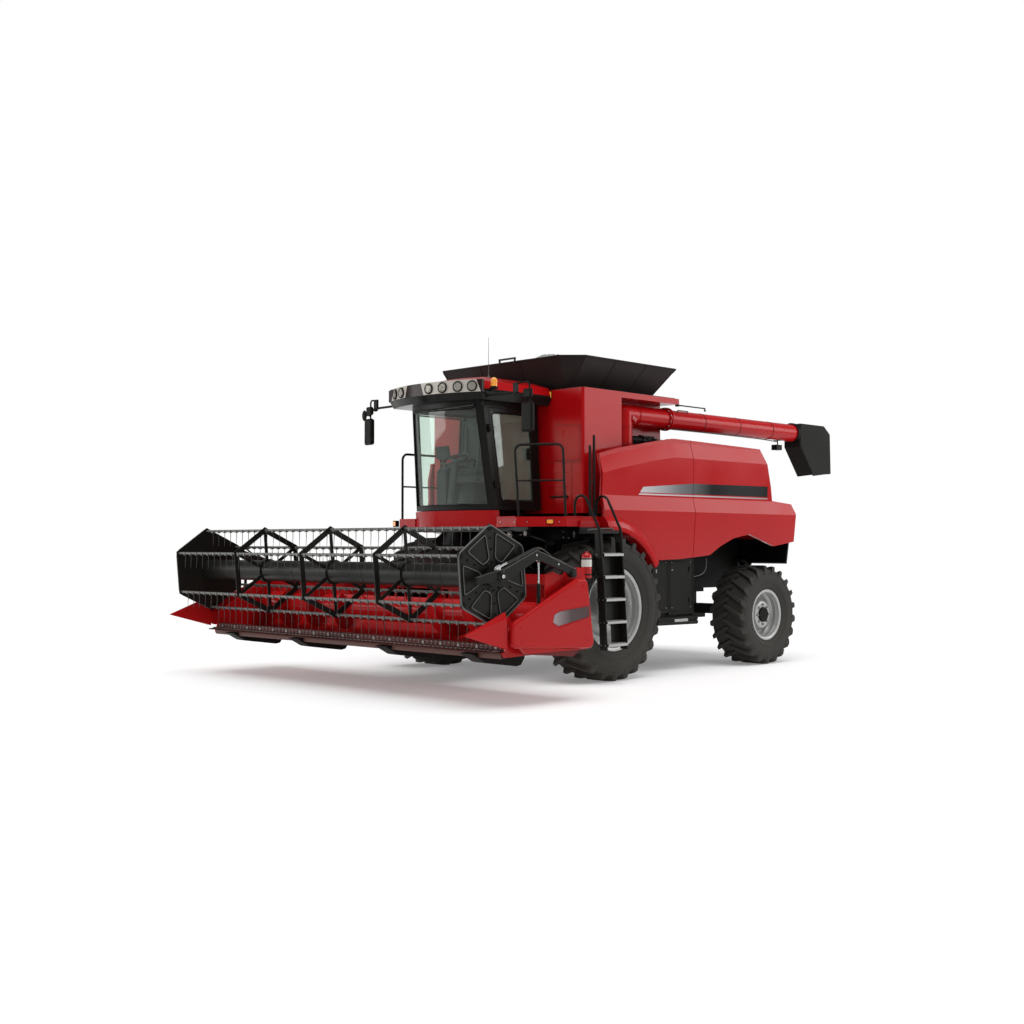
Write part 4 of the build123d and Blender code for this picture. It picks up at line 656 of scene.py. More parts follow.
def buildBeacon():
    middle = at(beacon["x"], beacon["y"], beacon["z"])
    dome = [(0.036, 0), (0.036, 0.045)]
    for i in range(7):  # moulded rings up the lens
        low = 0.042 + i * 0.01
        dome += [(low, 0.0455), (low + 0.004, 0.0438), (low + 0.008, 0.0438)]
    dome += [(0.118, 0.0435), (0.135, 0.037), (0.149, 0.021), (0.1545, 0)]
    bm = newShape()
    turned(bm, dome, middle, (0, 0, 1), steps=40)
    lens = finishPiece(bm, "beaconLens", "amberLens", sharp=60, weld=True)
    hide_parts("beacon")
    bm = newShape()
    turned(bm, [(0.002, 0), (0.002, 0.052), (0.02, 0.053), (0.034, 0.048), (0.036, 0.04), (0.036, 0)], middle, (0, 0, 1),
        steps=40)
    slab(bm, (0.856, beacon["y"] - 0.03, beacon["z"]), (beacon["x"] + 0.02, beacon["y"] + 0.03, beacon["z"] + 0.012))
    bars(bm, ((0.9, beacon["y"], beacon["z"] - 0.03), (0.9, beacon["y"], beacon["z"] + 0.02), 0.01, 6),
        ((beacon["x"] - 0.06, beacon["y"], beacon["z"] - 0.012), (beacon["x"] - 0.06, beacon["y"], beacon["z"] + 0.016),
        0.009, 6))
    finishPiece(bm, "beaconBase", "darkPlastic", bevel=0.002)


buildRoofLamps()
buildAerial()
buildBeacon()


# mirrors: glass on the rear faces, a rim round it, and the extra round mirror on the far side
mirrorSet = {"x": 1.594, "wide": 0.092, "turn": 6,
             "large": (3.43, 0.19, -1.358, 0.034), "small": (3.73, 0.062, -1.352, 0.026)}


def roundedPlate(bm, middle, wide, tall, thick, corner, turn, steps=5):  # a plate that faces Y
    points = []
    for cx, cz, start in ((wide - corner, tall - corner, 0), (-wide + corner, tall - corner, 90),
                          (-wide + corner, -tall + corner, 180), (wide - corner, -tall + corner, 270)):
        for i in range(steps):
            a = math.radians(start + 90 * i / (steps - 1))
            points.append(Vector((cx + corner * math.cos(a), 0, cz + corner * math.sin(a))))
    spin = Matrix.Rotation(math.radians(turn), 4, "Z")
    outline(bm, [placed(middle) + spin @ p for p in points], spin @ Vector((0, thick, 0)))


def buildMirrors():
    for side, sign in handed:
        glass, rims = shapes(2)
        for key, wide in (("large", mirrorSet["wide"]), ("small", 0.07)):
            z, tall, y, deep = mirrorSet[key]
            turn = sign * mirrorSet["turn"]
            x = sign * (mirrorSet["x"] - (0.004 if key == "small" else 0))
            back = at(x, y, z) + Matrix.Rotation(math.radians(turn), 4, "Z") @ Vector((0, deep, 0))
            roundedPlate(rims, back + Vector((0, -0.002, 0)), wide - 0.012, tall - 0.012, 0.005, 0.024, turn)
            roundedPlate(glass, back + Vector((0, 0.0008, 0)), wide - 0.02, tall - 0.02, 0.004, 0.018, turn)
            slab(rims, (x - 0.03, y + deep * 0.4, z - 0.04), (x + 0.03, y + deep + 0.012, z - 0.01))
        finishPiece(rims, f"mirrorRims.{side}", "darkPlastic", bevel=0.0015)
        finishPiece(glass, f"mirrorGlass.{side}", "mirrorSilver")
    bm = newShape()
    ball(bm, (-1.7, -1.36, 3.672), 0.078, (0.62, 0.3, 1.0), 24)
    finishPiece(bm, "wideMirror", "darkPlastic", sharp=60)
    pipe("wideMirrorArm", [(-1.6, -1.345, 3.66), (-1.63, -1.34, 3.67), (-1.67, -1.345, 3.672)], 0.009, "blackPaint")


buildMirrors()
print("roof and mirrors ready")


# tank front: service door, latch, seams and the dark grab bar; seams up the extension's corners
tankFront = {"y": -0.2, "door": ((1.007, 3.437), (1.446, 3.408), (1.445, 2.939), (1.006, 2.959)), "latch": (1.125, 3.315),
             "marker": (0.88, 0.928, 3.812, 3.898), "grab": (0.95, 1.227, 2.452)}
flaps = {"low": ((1.12, -0.06, 1.7, 0.04), 3.92), "high": ((1.42, -0.31, 2.18, 0.26), 4.36)}


def buildTankFront():
    y = tankFront["y"]
    bm = newShape()
    outline(bm, [(x, y - 0.006, z) for x, z in tankFront["door"]], (0, 0.012, 0))
    finishPiece(bm, "tankDoor", "redPaint", bevel=0.004)
    bm = newShape()
    corners = [at(x, y - 0.001, z) for x, z in tankFront["door"]]
    closedBars(bm, corners, 0.005, 6)
    bars(bm, ((0.84, y, 2.94), (1.47, y, 2.91), 0.004, 6), ((1.3, y, 2.93), (1.3, y, 2.3), 0.004, 6))
    finishPiece(bm, "tankSeams", "shadowRed", sharp=60)
    bm = newShape()
    x, z = tankFront["latch"]
    roundedPlate(bm, (x, y - 0.016, z), 0.03, 0.045, 0.012, 0.012, 0)
    roundedPlate(bm, (x, y - 0.02, z), 0.018, 0.03, 0.006, 0.008, 0)
    finishPiece(bm, "tankLatch", "redPaint", bevel=0.003)
    bm = newShape()
    for height in (2.6, 2.78):  # pressed ribs across the lower sheet
        slab(bm, (0.86, y - 0.01, height - 0.012), (1.22, y + 0.004, height + 0.012))
    slab(bm, (-1.4, y - 0.01, 2.9), (-0.95, y + 0.004, 2.925))
    finishPiece(bm, "tankRibs", "redPaint", bevel=0.006, segments=3)
    x0, x1, z = tankFront["grab"]
    bm = newShape()
    bar(bm, (x0, y - 0.05, z), (x1, y - 0.05, z), 0.013, 12)
    for x in (x0 + 0.02, x1 - 0.02):
        bars(bm, ((x, y - 0.05, z), (x, y + 0.006, z), 0.011, 10), ((x, y - 0.006, z), (x, y + 0.006, z), 0.024, 16))
    finishPiece(bm, "tankGrabBar", "blackPaint")
    x0, x1, z0, z1 = tankFront["marker"]
    bm = newShape()
    for sign in (1, -1):
        low, high = sorted((sign * x0, sign * x1))
        slab(bm, (low, y - 0.022, z0), (high, y - 0.004, z1))
    finishPiece(bm, "tankMarkers", "amberLens", bevel=0.006, segments=3)
    bm = newShape()
    for sign in (1, -1):
        low, high = sorted((sign * (x0 - 0.006), sign * (x1 + 0.006)))
        slab(bm, (low, y - 0.008, z0 - 0.008), (high, y + 0.002, z1 + 0.008))
    finishPiece(bm, "tankMarkerFeet", "darkPlastic", bevel=0.002)


def flapCorners(key):
    (x, y0, y1, clip), z = flaps[key]
    return [at(*p, z) for p in ((-x + clip, y0), (x - clip, y0), (x, y0 + clip), (x, y1 - clip), (x - clip, y1),
        (-x + clip, y1), (-x, y1 - clip), (-x, y0 + clip))]


def buildFlapSeams():  # welted seams and the rolled top edge of the tank extension
    bm = newShape()
    low, high = flapCorners("low"), flapCorners("high")
    for a, b in zip(low, high):
        bar(bm, a, b, 0.007, 8)
    closedBars(bm, high, 0.013, 10)
    for a, b, c, d in zip(low, low[1:] + low[:1], high, high[1:] + high[:1]):
        if (a - b).length > 0.5:  # stiffening bars behind the long sheets
            for share in (0.33, 0.67):
                bar(bm, a.lerp(b, share), c.lerp(d, share), 0.006, 8)
    finishPiece(bm, "flapSeams", "flapPlastic", sharp=50)


buildTankFront()
buildFlapSeams()


# header: band and fasteners on the end covers, guards and sections of the knife
endCover = {"x": 3.0465, "face": 3.055, "lip": ((-2.462, 0.915), (-2.362, 0.866), (-1.835, 0.96)),
            "band": ((-2.428, 1.018), (-2.452, 0.932), (-2.362, 0.888), (-1.835, 0.974), (-1.835, 1.094), (-2.338, 1.052)),
            "screws": ((-2.97, 0.74), (-2.97, 0.9), (-1.86, 0.7), (-1.93, 1.33), (-2.55, 0.72))}


def buildEndCovers():
    for side, sign in handed:
        x = endCover["x"] * sign
        bm = newShape()
        outline(bm, [(x, y, z) for y, z in endCover["band"]], (0.004 * sign, 0, 0))
        finishPiece(bm, f"coverBand.{side}", "coverBand", "header", bevel=0.002)
        bm = newShape()
        for (y0, z0), (y1, z1) in zip(endCover["lip"], endCover["lip"][1:]):
            bar(bm, (x + 0.007 * sign, y0, z0), (x + 0.007 * sign, y1, z1), 0.006, 10)
        for y, z in endCover["screws"]:
            face = endCover["face"] * sign
            bar(bm, (face - 0.012 * sign, y, z), (face + 0.004 * sign, y, z), 0.012, 16)
        finishPiece(bm, f"coverScrews.{side}", "redPaint", "header", bevel=0.001)


knife = {"y": -3.12, "z": 0.623, "half": 2.87, "pitch": 0.0762,
         "section": ((-0.9, 0.02), (-0.3, -0.055), (0.3, -0.055), (0.9, 0.02))}


def buildKnife():  # forged guards over the toothed strip, and the knife sections between them
    guards, sections = shapes(2)
    y, z, pitch = knife["y"], knife["z"], knife["pitch"]
    count, half = int(2 * knife["half"] / pitch), pitch / 2
    for i in range(count):
        x = -count * pitch / 2 + (i + 0.5) * pitch
        bar(guards, (x, y + 0.06, z + 0.006), (x, y - 0.108, z + 0.005), 0.013, 6, 0.003)
        slab(guards, (x - 0.011, y - 0.03, z + 0.01), (x + 0.011, y + 0.055, z + 0.026))
        outline(sections, [(x + half * share, y + dy, z + 0.014) for share, dy in knife["section"]], (0, 0, 0.003))
    finishPiece(guards, "knifeGuards", "rustSteel", "header")
    finishPiece(sections, "knifeSections", "wornSteel", "header")


buildEndCovers()
buildKnife()


# reel: tine bars with their clips and sprung tines, and the heads of the plate bolts
reel = {"y": -3.207, "z": 1.462, "circle": 0.533, "tube": 0.0162, "half": 2.856, "phase": -5, "pitch": 0.145, "count": 19,
        "length": 0.205, "wire": 0.0042, "plate": 2.85}


def roundReel(degrees, radius):  # a place on a circle round the reel's axle
    a = math.radians(90 - reel["phase"] + degrees)
    return reel["y"] + radius * math.cos(a), reel["z"] + radius * math.sin(a)


def buildTineBars():
    for i in range(6):
        y, z = roundReel(i * 60, reel["circle"])
        tube, tines = shapes(2)
        bar(tube, (-reel["half"], y, z), (reel["half"], y, z), reel["tube"], 16)
        for k in range(-reel["count"], reel["count"]):
            x = (k + 0.5) * reel["pitch"]
            slab(tube, (x - 0.016, y - 0.021, z - 0.026), (x + 0.016, y + 0.021, z + 0.014))
            knee = at(x, y + 0.003, z - 0.075)
            bars(tines, ((x, y, z - 0.02), knee, reel["wire"], 8), (knee, (x, y - 0.002, z - reel["length"]), reel["wire"],
                8, 0.0026))
        name = f"tine_bar_{i + 1}"
        # the tine tubes are painted grey instead of black, a painted highlight for the light line along them
        piece = finishPiece(tube, f"tineTube.{i + 1}", "greyAndPaintedHighlight", name)
        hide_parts(name)
        finishPiece(tines, f"tines.{i + 1}", "tineWire", name)


def buildReelBolts():
    bm = newShape()
    plate = reel["plate"]
    for sign in (1, -1):
        for i in range(6):
            for turn, r in ((0, 0.3), (0, 0.42), (0, 0.155), (30, 0.155)):
                y, z = roundReel(i * 60 + turn, r)
                bar(bm, (sign * (plate - 0.004), y, z), (sign * (plate + 0.012), y, z), 0.011, 6)
            y, z = roundReel(i * 60, reel["circle"])
            bar(bm, (sign * (plate - 0.002), y, z), (sign * (plate + 0.007), y, z), 0.034, 20)
    finishPiece(bm, "reelBolts", "blackSteel", "reel", bevel=0.001, sharp=35)


buildTineBars()
buildReelBolts()
print("header and reel ready")


# ladder: alloy treads with punched grips, riser plates and bolts; fire bottle beside it
ladder = {"front": -0.51, "rear": -0.11, "topX": 2.035, "footX": 2.13, "topZ": 1.99, "footZ": 0.45, "first": 1.69,
          "rise": 0.29, "count": 5, "half": 0.075}


def treadX(z):
    return ladder["topX"] + (ladder["footX"] - ladder["topX"]) * (ladder["topZ"] - z) / (ladder["topZ"] - ladder["footZ"])


def buildLadder():
    treads, risers, bolts = shapes(3)
    front, rear, half = ladder["front"], ladder["rear"], ladder["half"]
    for i in range(ladder["count"]):
        z = ladder["first"] - i * ladder["rise"]
        x = treadX(z)
        slabs(treads, ((x - half, front + 0.008, z), (x + half + 0.005, rear - 0.008, z + 0.005)),
            ((x + half, front + 0.008, z - 0.032), (x + half + 0.005, rear - 0.008, z + 0.005)))
        for row in range(3):
            for k in range(8):
                hole = at(x - 0.045 + row * 0.045, front + 0.045 + k * 0.0445 + (row % 2) * 0.012, z + 0.004)
                bar(treads, hole, hole + Vector((0, 0, 0.006)), 0.0085, 10, 0.006)
        if i < ladder["count"] - 1:
            lower = z - ladder["rise"]
            start = front + 0.005 if i < ladder["count"] - 2 else (front + rear) / 2 + 0.02
            xb = treadX(lower)
            outline(risers, [(x - half + 0.022, start, z - 0.028), (x - half + 0.022, rear - 0.005, z - 0.028),
                (xb - half + 0.022, rear - 0.005, lower + 0.004), (xb - half + 0.022, start, lower + 0.004)],
                (-0.006, 0, 0))
        for y, out in ((front, -1), (rear, 1)):
            for dx in (-0.035, 0.035):
                bar(bolts, (x + dx, y, z - 0.015), (x + dx, y + out * 0.014, z - 0.015), 0.008, 6)
    finishPiece(treads, "ladderTreads", "stepAlloy", bevel=0.0012)
    finishPiece(risers, "ladderRisers", "blackPaint", bevel=0.001)
    finishPiece(bolts, "ladderBolts", "wornSteel")


bottle = {"x": 2.05, "y": -0.756, "low": 1.375, "high": 1.655, "radius": 0.066}


def buildFireBottle():
    x, y, low, high, r = bottle["x"], bottle["y"], bottle["low"], bottle["high"], bottle["radius"]
    foot = at(x, y, low)
    bm = newShape()
    turned(bm, [(0, 0), (0, r * 0.8), (0.012, r), (high - low + 0.012, r), (high - low + 0.036, r * 0.78),
        (high - low + 0.05, r * 0.34), (high - low + 0.066, r * 0.3), (high - low + 0.066, 0)], foot, (0, 0, 1), steps=40)
    finishPiece(bm, "fireBottle", "bottleRed", weld=True)
    bm = newShape()
    hoop(bm, 0.15, 0.262, r + 0.0002, r + 0.0016, foot, (0, 0, 1), steps=40)
    finishPiece(bm, "fireBottleLabel", "plainLabel", weld=True)
    bm = newShape()
    top = high + 0.06
    turned(bm, [(0, 0), (0, 0.02), (0.03, 0.02), (0.036, 0.012), (0.036, 0)], (x, y, top), (0, 0, 1), steps=20)
    slabs(bm, ((x - 0.01, y - 0.075, top + 0.03), (x + 0.01, y + 0.02, top + 0.038), Matrix.Rotation(0.22, 4, "X")),
        ((x - 0.01, y - 0.07, top + 0.01), (x + 0.01, y + 0.01, top + 0.017)))
    bar(bm, (x, y + 0.012, top + 0.012), (x, y + 0.042, top + 0.012), 0.014, 16)
    for z in (low + 0.05, high - 0.03):
        hoop(bm, z - low - 0.009, z - low + 0.009, r, r + 0.003, foot, (0, 0, 1), steps=40)
    slabs(bm, ((x - 0.078, y - 0.05, low - 0.004), (x - 0.066, y + 0.05, high + 0.02)),
        ((x - 0.075, y - 0.05, low - 0.008), (x + 0.05, y + 0.05, low)))
    for z in (low + 0.05, high - 0.03):
        slab(bm, (x - 0.078, y + 0.04, z - 0.018), (x - 0.07, ladder["front"] + 0.004, z + 0.018))
    finishPiece(bm, "fireBottleBracket", "blackPaint", bevel=0.001)
    pipe("fireBottleHose", [(x, y + 0.03, top + 0.012), (x + 0.01, y + 0.085, top + 0.01),
        (x + 0.02, y + 0.085, high - 0.08), (x + 0.02, y + 0.08, low + 0.09), (x + 0.01, y + 0.078, low + 0.05)], 0.0075,
        "spoutRubber")


buildLadder()
buildFireBottle()
print("ladder ready")


# header lip, knife bed, skid shoes, reel rims, hub, arms and hoses
header = {"lip": ((-3.086, 0.612), (-3.092, 0.56), (-3.074, 0.546)), "bed": (-3.046, 0.638, 0.7), "half": 2.86,
          "skids": ((2.285, 2.495), (0.785, 0.995)),
          "shoe": ((-3.185, 0.588), (-2.985, 0.48), (-2.88, 0.462), (-2.47, 0.405), (-2.4, 0.415), (-2.335, 0.5),
                   (-2.35, 0.606), (-2.98, 0.606))}


def buildKnifeBed():
    half = header["half"]
    bm = newShape()
    for (y0, z0), (y1, z1) in zip(header["lip"], header["lip"][1:]):
        outline(bm, [(-half, y0, z0), (half, y0, z0), (half, y1, z1), (-half, y1, z1)], (0, 0.006, 0.001))
    finishPiece(bm, "headerLip", "lipBrown", "header", bevel=0.001)
    y, low, high = header["bed"]
    bed, clips = shapes(2)
    slabs(bed, ((-half, y, low - 0.004), (half, y + 0.006, high)), ((-half, y, high - 0.006), (half, y + 0.06, high)))
    for i in range(int(2 * half / knife["pitch"])):
        x = -half + (i + 0.5) * knife["pitch"]
        bars(clips, ((x, y + 0.004, high - 0.016), (x, y - 0.01, high - 0.016), 0.0075, 6), ((x, y + 0.004, low + 0.016),
            (x, y - 0.012, low + 0.016), 0.0065, 6))
        if i % 4 == 1:
            slabs(clips, ((x - 0.018, y - 0.008, low), (x + 0.018, y - 0.002, high - 0.026)),
                ((x - 0.018, y - 0.06, low), (x + 0.018, y - 0.002, low + 0.006)))
    finishPiece(bed, "knifeBed", "rustSteel", "header", bevel=0.0012)
    finishPiece(clips, "knifeClips", "wornSteel", "header")


def buildSkids():
    bm = newShape()
    for low, high in header["skids"]:
        for sign in (1, -1):
            outline(bm, [(sign * low, y, z) for y, z in header["shoe"]], (sign * (high - low), 0, 0))
    finishPiece(bm, "skidShoes", "blackSteel", "header", bevel=0.006, segments=3)


def cutCorners(points, cut):  # a closed outline with each corner turned into a short arc
    out = []
    for i, p in enumerate(points):
        before, after = points[i - 1], points[(i + 1) % len(points)]
        a, b = p + (before - p).normalized() * cut, p + (after - p).normalized() * cut
        out += [a, (a + b) / 4 + p / 2, b]
    return out


def loopBar(bm, points, radius, sides=8):
    for a, b in zip(points, points[1:] + points[:1]):
        bar(bm, a, b, radius, sides)
        ball(bm, b, radius * 0.98, detail=8)


reelTrim = {"hex": 0.572, "rim": 0.0085, "rib": 0.0055, "ribFace": 2.86,
            "sector": ((12, 0.19), (9, 0.482), (51, 0.482), (48, 0.19))}


def buildReelTrim():  # rolled rim and rib edges of the end plates, lock rings on the tube's ends
    # the rim and rib-edge bars are grey against the black plates, painted highlights along the plates' edges
    edges = newShape()
    for sign in (1, -1):
        corners = [at(sign * (reel["plate"] + 0.002), *roundReel(i * 60, reelTrim["hex"])) for i in range(6)]
        loopBar(edges, cutCorners(corners, 0.05), reelTrim["rim"], 10)
        for i in range(6):
            sector = [at(sign * reelTrim["ribFace"], *roundReel(i * 60 + t, r)) for t, r in reelTrim["sector"]]
            middle = sum(sector, Vector()) / 4
            sector = [middle + (p - middle) * 0.95 for p in sector]
            loopBar(edges, cutCorners(sector, 0.035), reelTrim["rib"])
    finishPiece(edges, "reelRims", "greyAndPaintedHighlight", "reel", sharp=50)
    rings = newShape()
    for x in (-2.13, -1.43, -0.71, 0.71, 1.43, 2.13):  # weld seams round the reel tube
        turned(rings, [(-0.012, 0.134), (-0.01, 0.138), (0.01, 0.138), (0.012, 0.134)], (x, reel["y"], reel["z"]), steps=40)
    finishPiece(rings, "reelTubeRings", "blackPaint", "reel")
    hub = newShape()
    for sign in (1, -1):
        middle = at(sign * 2.992, reel["y"], reel["z"])
        out = Vector((sign, 0, 0))
        turned(hub, [(0.0, 0.034), (0.0, 0.066), (0.01, 0.068), (0.016, 0.06), (0.018, 0.034)], middle, out, steps=36)
        for i in range(4):
            a = math.radians(45 + i * 90)
            place = middle + Vector((0, math.cos(a), math.sin(a))) * 0.05
            bar(hub, place + out * 0.01, place + out * 0.026, 0.009, 6)
    finishPiece(hub, "reelBearingCaps", "blackPaint", "reel_arms", bevel=0.001, sharp=35)
    nut = newShape()
    for sign in (1, -1):
        bar(nut, (sign * 2.998, reel["y"], reel["z"]), (sign * 3.022, reel["y"], reel["z"]), 0.024, 6)
    finishPiece(nut, "reelShaftNuts", "brightSteel", "reel", bevel=0.002, sharp=35)


armTrim = {"x": 2.972, "top": ((-2.01, 1.525), (-2.65, 1.745), (-3.167, 1.537), (-3.267, 1.522), (-3.57, 1.453)),
           "hose": ((-3.13, 1.6), (-2.961, 1.662), (-2.72, 1.752), (-2.62, 1.776), (-2.555, 1.768), (-2.47, 1.715),
                    (-2.387, 1.655), (-2.254, 1.627), (-2.12, 1.56)),
           "box": ((-3.58, 1.37), (-3.28, 1.44), (-3.28, 1.52), (-3.58, 1.452)),
           "bracket": ((-2.44, 1.19), (-2.44, 1.47), (-2.3, 1.5), (-2.09, 1.42), (-2.02, 1.4), (-2.02, 1.19))}


def buildArmTrim():
    edges, blocks, fitting = shapes(3)
    for side, sign in handed:
        # grey bars along the arms' top edges are a painted highlight on the black arms
        for shift in (-0.02, 0.02):
            x = sign * (armTrim["x"] + shift)
            for (y0, z0), (y1, z1) in zip(armTrim["top"], armTrim["top"][1:]):
                bar(edges, (x, y0, z0), (x, y1, z1), 0.004, 8)
        outline(blocks, [(sign * 2.95, y, z) for y, z in armTrim["box"]], (sign * 0.05, 0, 0))
        bars(blocks, ((sign * 2.945, -2.05, 1.48), (sign * 3.0, -2.05, 1.48), 0.052, 20), ((sign * 2.99, -2.05, 1.48),
            (sign * 3.011, -2.05, 1.48), 0.036, 20))
        bars(fitting, ((sign * 2.975, -3.31, 1.535), (sign * 2.975, -3.12, 1.606), 0.015, 12),
            ((sign * 2.975, -3.29, 1.543), (sign * 2.975, -3.22, 1.569), 0.024, 6))
        slab(fitting, (sign * 2.975 - 0.012, -3.245, 1.52), (sign * 2.975 + 0.012, -3.215, 1.556))
        for y, z in ((-3.42, 1.455), (-2.66, 1.69), (-2.3, 1.585)):
            bar(fitting, (sign * 2.99, y, z), (sign * 2.998, y, z), 0.013, 6)
        for k, lift in ((0, 0.0), (1, -0.019)):
            x = sign * (armTrim["x"] - 0.004 + 0.012 * k)
            points = [(x, y, z + lift * (0.6 if y < -2.5 else 0)) for y, z in armTrim["hose"]]
            pipe(f"reelHose.{side}{k + 1}", points, 0.0085, "hoseRubber", "reel_arms")
    finishPiece(edges, "reelArmEdgeHighlights", "greyAndPaintedHighlight", "reel_arms", sharp=50)
    finishPiece(blocks, "reelArmEnds", "blackPaint", "reel_arms", bevel=0.004, sharp=35)
    finishPiece(fitting, "reelArmFittings", "brightSteel", "reel_arms", bevel=0.001, sharp=35)
    brackets = newShape()
    for sign in (1, -1):  # red brackets on the header's end sheets behind the reel cylinders
        outline(brackets, [(sign * 2.901, y, z) for y, z in armTrim["bracket"]], (sign * 0.01, 0, 0))
        slab(brackets, (sign * 2.901, -2.44, 1.462), (sign * 2.925, -2.3, 1.474), Matrix.Rotation(0.2, 4, "X"))
    finishPiece(brackets, "cylinderBrackets", "redPaint", "header", bevel=0.002, sharp=35)


buildKnifeBed()
buildSkids()
buildReelTrim()
buildArmTrim()
print("header trim ready")


# tube: seams and bolts on the elbow, collar bolts, lamp and cable; clutter below it
tube = {"x": 1.33, "y": 0.82, "z": 3.63, "r": 0.14, "lampY": 4.72}


def buildTubeTrim():
    x, y, z, r = tube["x"], tube["y"], tube["z"], tube["r"]
    seams = newShape()
    for along in (1.055, 1.075):
        hoop(seams, -0.005, 0.005, r - 0.002, r + 0.006, (x, along, z), (0, 1, 0), steps=48)
    for height in (3.2, 3.225, 3.455):
        hoop(seams, -0.006, 0.006, r - 0.002, r + 0.012, (x, y, height), (0, 0, 1), steps=48)
    hoop(seams, -0.01, 0.01, r - 0.002, r + 0.024, (x, 1.742, z), (0, 1, 0), steps=48)
    slab(seams, (x + 0.112, 0.86, 3.535), (x + 0.146, 0.96, 3.595), Matrix.Rotation(-0.5, 4, "X"))
    finishPiece(seams, "tubeSeams", "redPaint", "unloader", bevel=0.0015)
    bolts = newShape()
    for i in range(12):
        a = math.radians(15 + i * 30)
        place = at(x + 0.155 * math.cos(a), 1.731, z + 0.155 * math.sin(a))
        bars(bolts, (place, place + Vector((0, -0.012, 0)), 0.01, 6), (place + Vector((0, 0.079, 0)),
            place + Vector((0, 0.092, 0)), 0.008, 6))
    for dy, dz in ((0.885, 3.582), (0.93, 3.555)):
        bar(bolts, (x + 0.13, dy, dz), (x + 0.158, dy, dz), 0.01, 6)
    finishPiece(bolts, "tubeBolts", "wornSteel", "unloader")
    black = newShape()
    lamp = tube["lampY"]
    bar(black, (x, lamp, z - r - 0.004), (x, lamp, z - r - 0.085), 0.01, 10)
    slabs(black, ((x - 0.045, lamp - 0.045, z - r - 0.006), (x + 0.045, lamp + 0.045, z - r + 0.004)),
        ((x - 0.052, lamp - 0.1, z - r - 0.16), (x + 0.052, lamp + 0.05, z - r - 0.075)))
    bar(black, (x + 0.1, 1.96, 3.765), (x + 0.1, 2.2, 3.765), 0.008, 8)
    for along in (1.96, 2.2):
        bar(black, (x + 0.1, along, 3.765), (x + 0.08, along, 3.72), 0.007, 8)
    for along in (2.6, 3.5, 4.4):  # clips that hold the cable under the tube
        hoop(black, -0.006, 0.006, r, r + 0.0035, (x, along, z), (0, 1, 0), steps=40)
    finishPiece(black, "tubeLampBody", "darkPlastic", "unloader", bevel=0.003)
    glass = newShape()
    slab(glass, (x - 0.042, lamp + 0.048, z - r - 0.15), (x + 0.042, lamp + 0.056, z - r - 0.085))
    finishPiece(glass, "tubeLampLens", "lampGlass", "unloader", bevel=0.003)
    pipe("tubeCable", [(x + 0.05, 1.84, 3.485), (x + 0.05, 2.4, 3.487), (x + 0.04, 3.4, 3.484), (x + 0.02, 4.4, 3.48),
        (x + 0.01, 4.7, 3.462)], 0.008, "hoseRubber", "unloader")
    rail = newShape()
    bars(rail, ((1.5, 1.86, 3.828), (1.5, 2.53, 3.828), 0.01, 10), ((1.5, 2.525, 3.834), (1.5, 2.525, 3.8), 0.01, 10))
    ball(rail, (1.5, 2.525, 3.796), 0.016, detail=12)
    slab(rail, (1.455, 1.862, 3.812), (1.512, 1.902, 3.838))
    finishPiece(rail, "tubeRestBar", "blackPaint", bevel=0.001)


def buildGutter():  # the drive and hoses that lie under the tube, beside the tank
    x = 1.3
    dark, bright = shapes(2)
    bars(dark, ((x, 1.02, 3.29), (x, 1.24, 3.29), 0.062, 20), ((x, 1.24, 3.29), (x, 1.27, 3.29), 0.08, 20),
        ((x, 1.27, 3.29), (x, 1.36, 3.29), 0.044, 16))
    slabs(dark, ((1.155, 1.05, 3.18), (x + 0.03, 1.2, 3.235)), ((1.155, 1.45, 3.22), (1.235, 1.62, 3.36)),
        ((1.152, 0.66, 3.02), (1.19, 1.88, 3.05)))
    finishPiece(dark, "gutterDrive", "blackSteel", bevel=0.003)
    for dy, dz, size in ((1.3, 3.345, 0.016), (1.44, 3.33, 0.013), (1.52, 3.35, 0.015), (1.6, 3.325, 0.012)):
        bar(bright, (x - 0.02, dy, dz - 0.02), (x + 0.03, dy + 0.02, dz + 0.012), size, 6)
    for i in range(6):
        a = math.radians(i * 60)
        px, pz = x + 0.066 * math.cos(a), 3.29 + 0.066 * math.sin(a)
        bar(bright, (px, 1.232, pz), (px, 1.28, pz), 0.008, 6)
    finishPiece(bright, "gutterFittings", "wornSteel", bevel=0.001)
    for i, lift in enumerate((0.0, 0.028, 0.056)):
        pipe(f"gutterHose.{i + 1}", [(x + 0.02 - lift, 1.3, 3.335), (x + 0.05 - lift, 1.42, 3.37 - lift),
            (x + 0.02 - lift, 1.6, 3.315), (x - 0.03 - lift, 1.76, 3.3), (x - 0.06 - lift, 1.92, 3.25)], 0.0115,
            "hoseRubber")


buildTubeTrim()
buildGutter()
print("tube trim ready")


# platform: markers, bolts, lips and chequered top, lamps and pipes below it; service boxes: seams, latches, step bar
deck = {"edge": (1.18, -1.15, 1.7, -0.75), "marker": (1.531, -0.88, 2.104), "farMarker": (-1.296, -1.08, 2.104),
        "hoses": (((1.46, -0.23, 1.962), (1.36, -0.24, 1.968), (1.2, -0.26, 1.962), (1.04, -0.28, 1.94), (1.02, -0.28, 1.7),
                   (1.03, -0.28, 1.36)),
                  ((1.46, -0.46, 1.895), (1.38, -0.47, 1.92), (1.2, -0.48, 1.905), (1.04, -0.46, 1.88), (1.02, -0.42, 1.6),
                   (1.03, -0.4, 1.355)),
                  ((1.05, -0.78, 1.94), (1.14, -0.76, 1.9), (1.17, -0.6, 1.86), (1.2, -0.55, 1.84)),
                  ((0.84, -0.86, 1.9), (0.81, -0.8, 1.72), (0.82, -0.55, 1.55), (0.81, -0.42, 1.46))),
        "loop": ((1.86, -0.512, 1.996), (1.9, -0.12, 2.02), (1.93, -0.085, 2.01), (1.99, -0.085, 1.84),
                 (2.05, -0.088, 1.45), (2.08, -0.09, 1.1))}


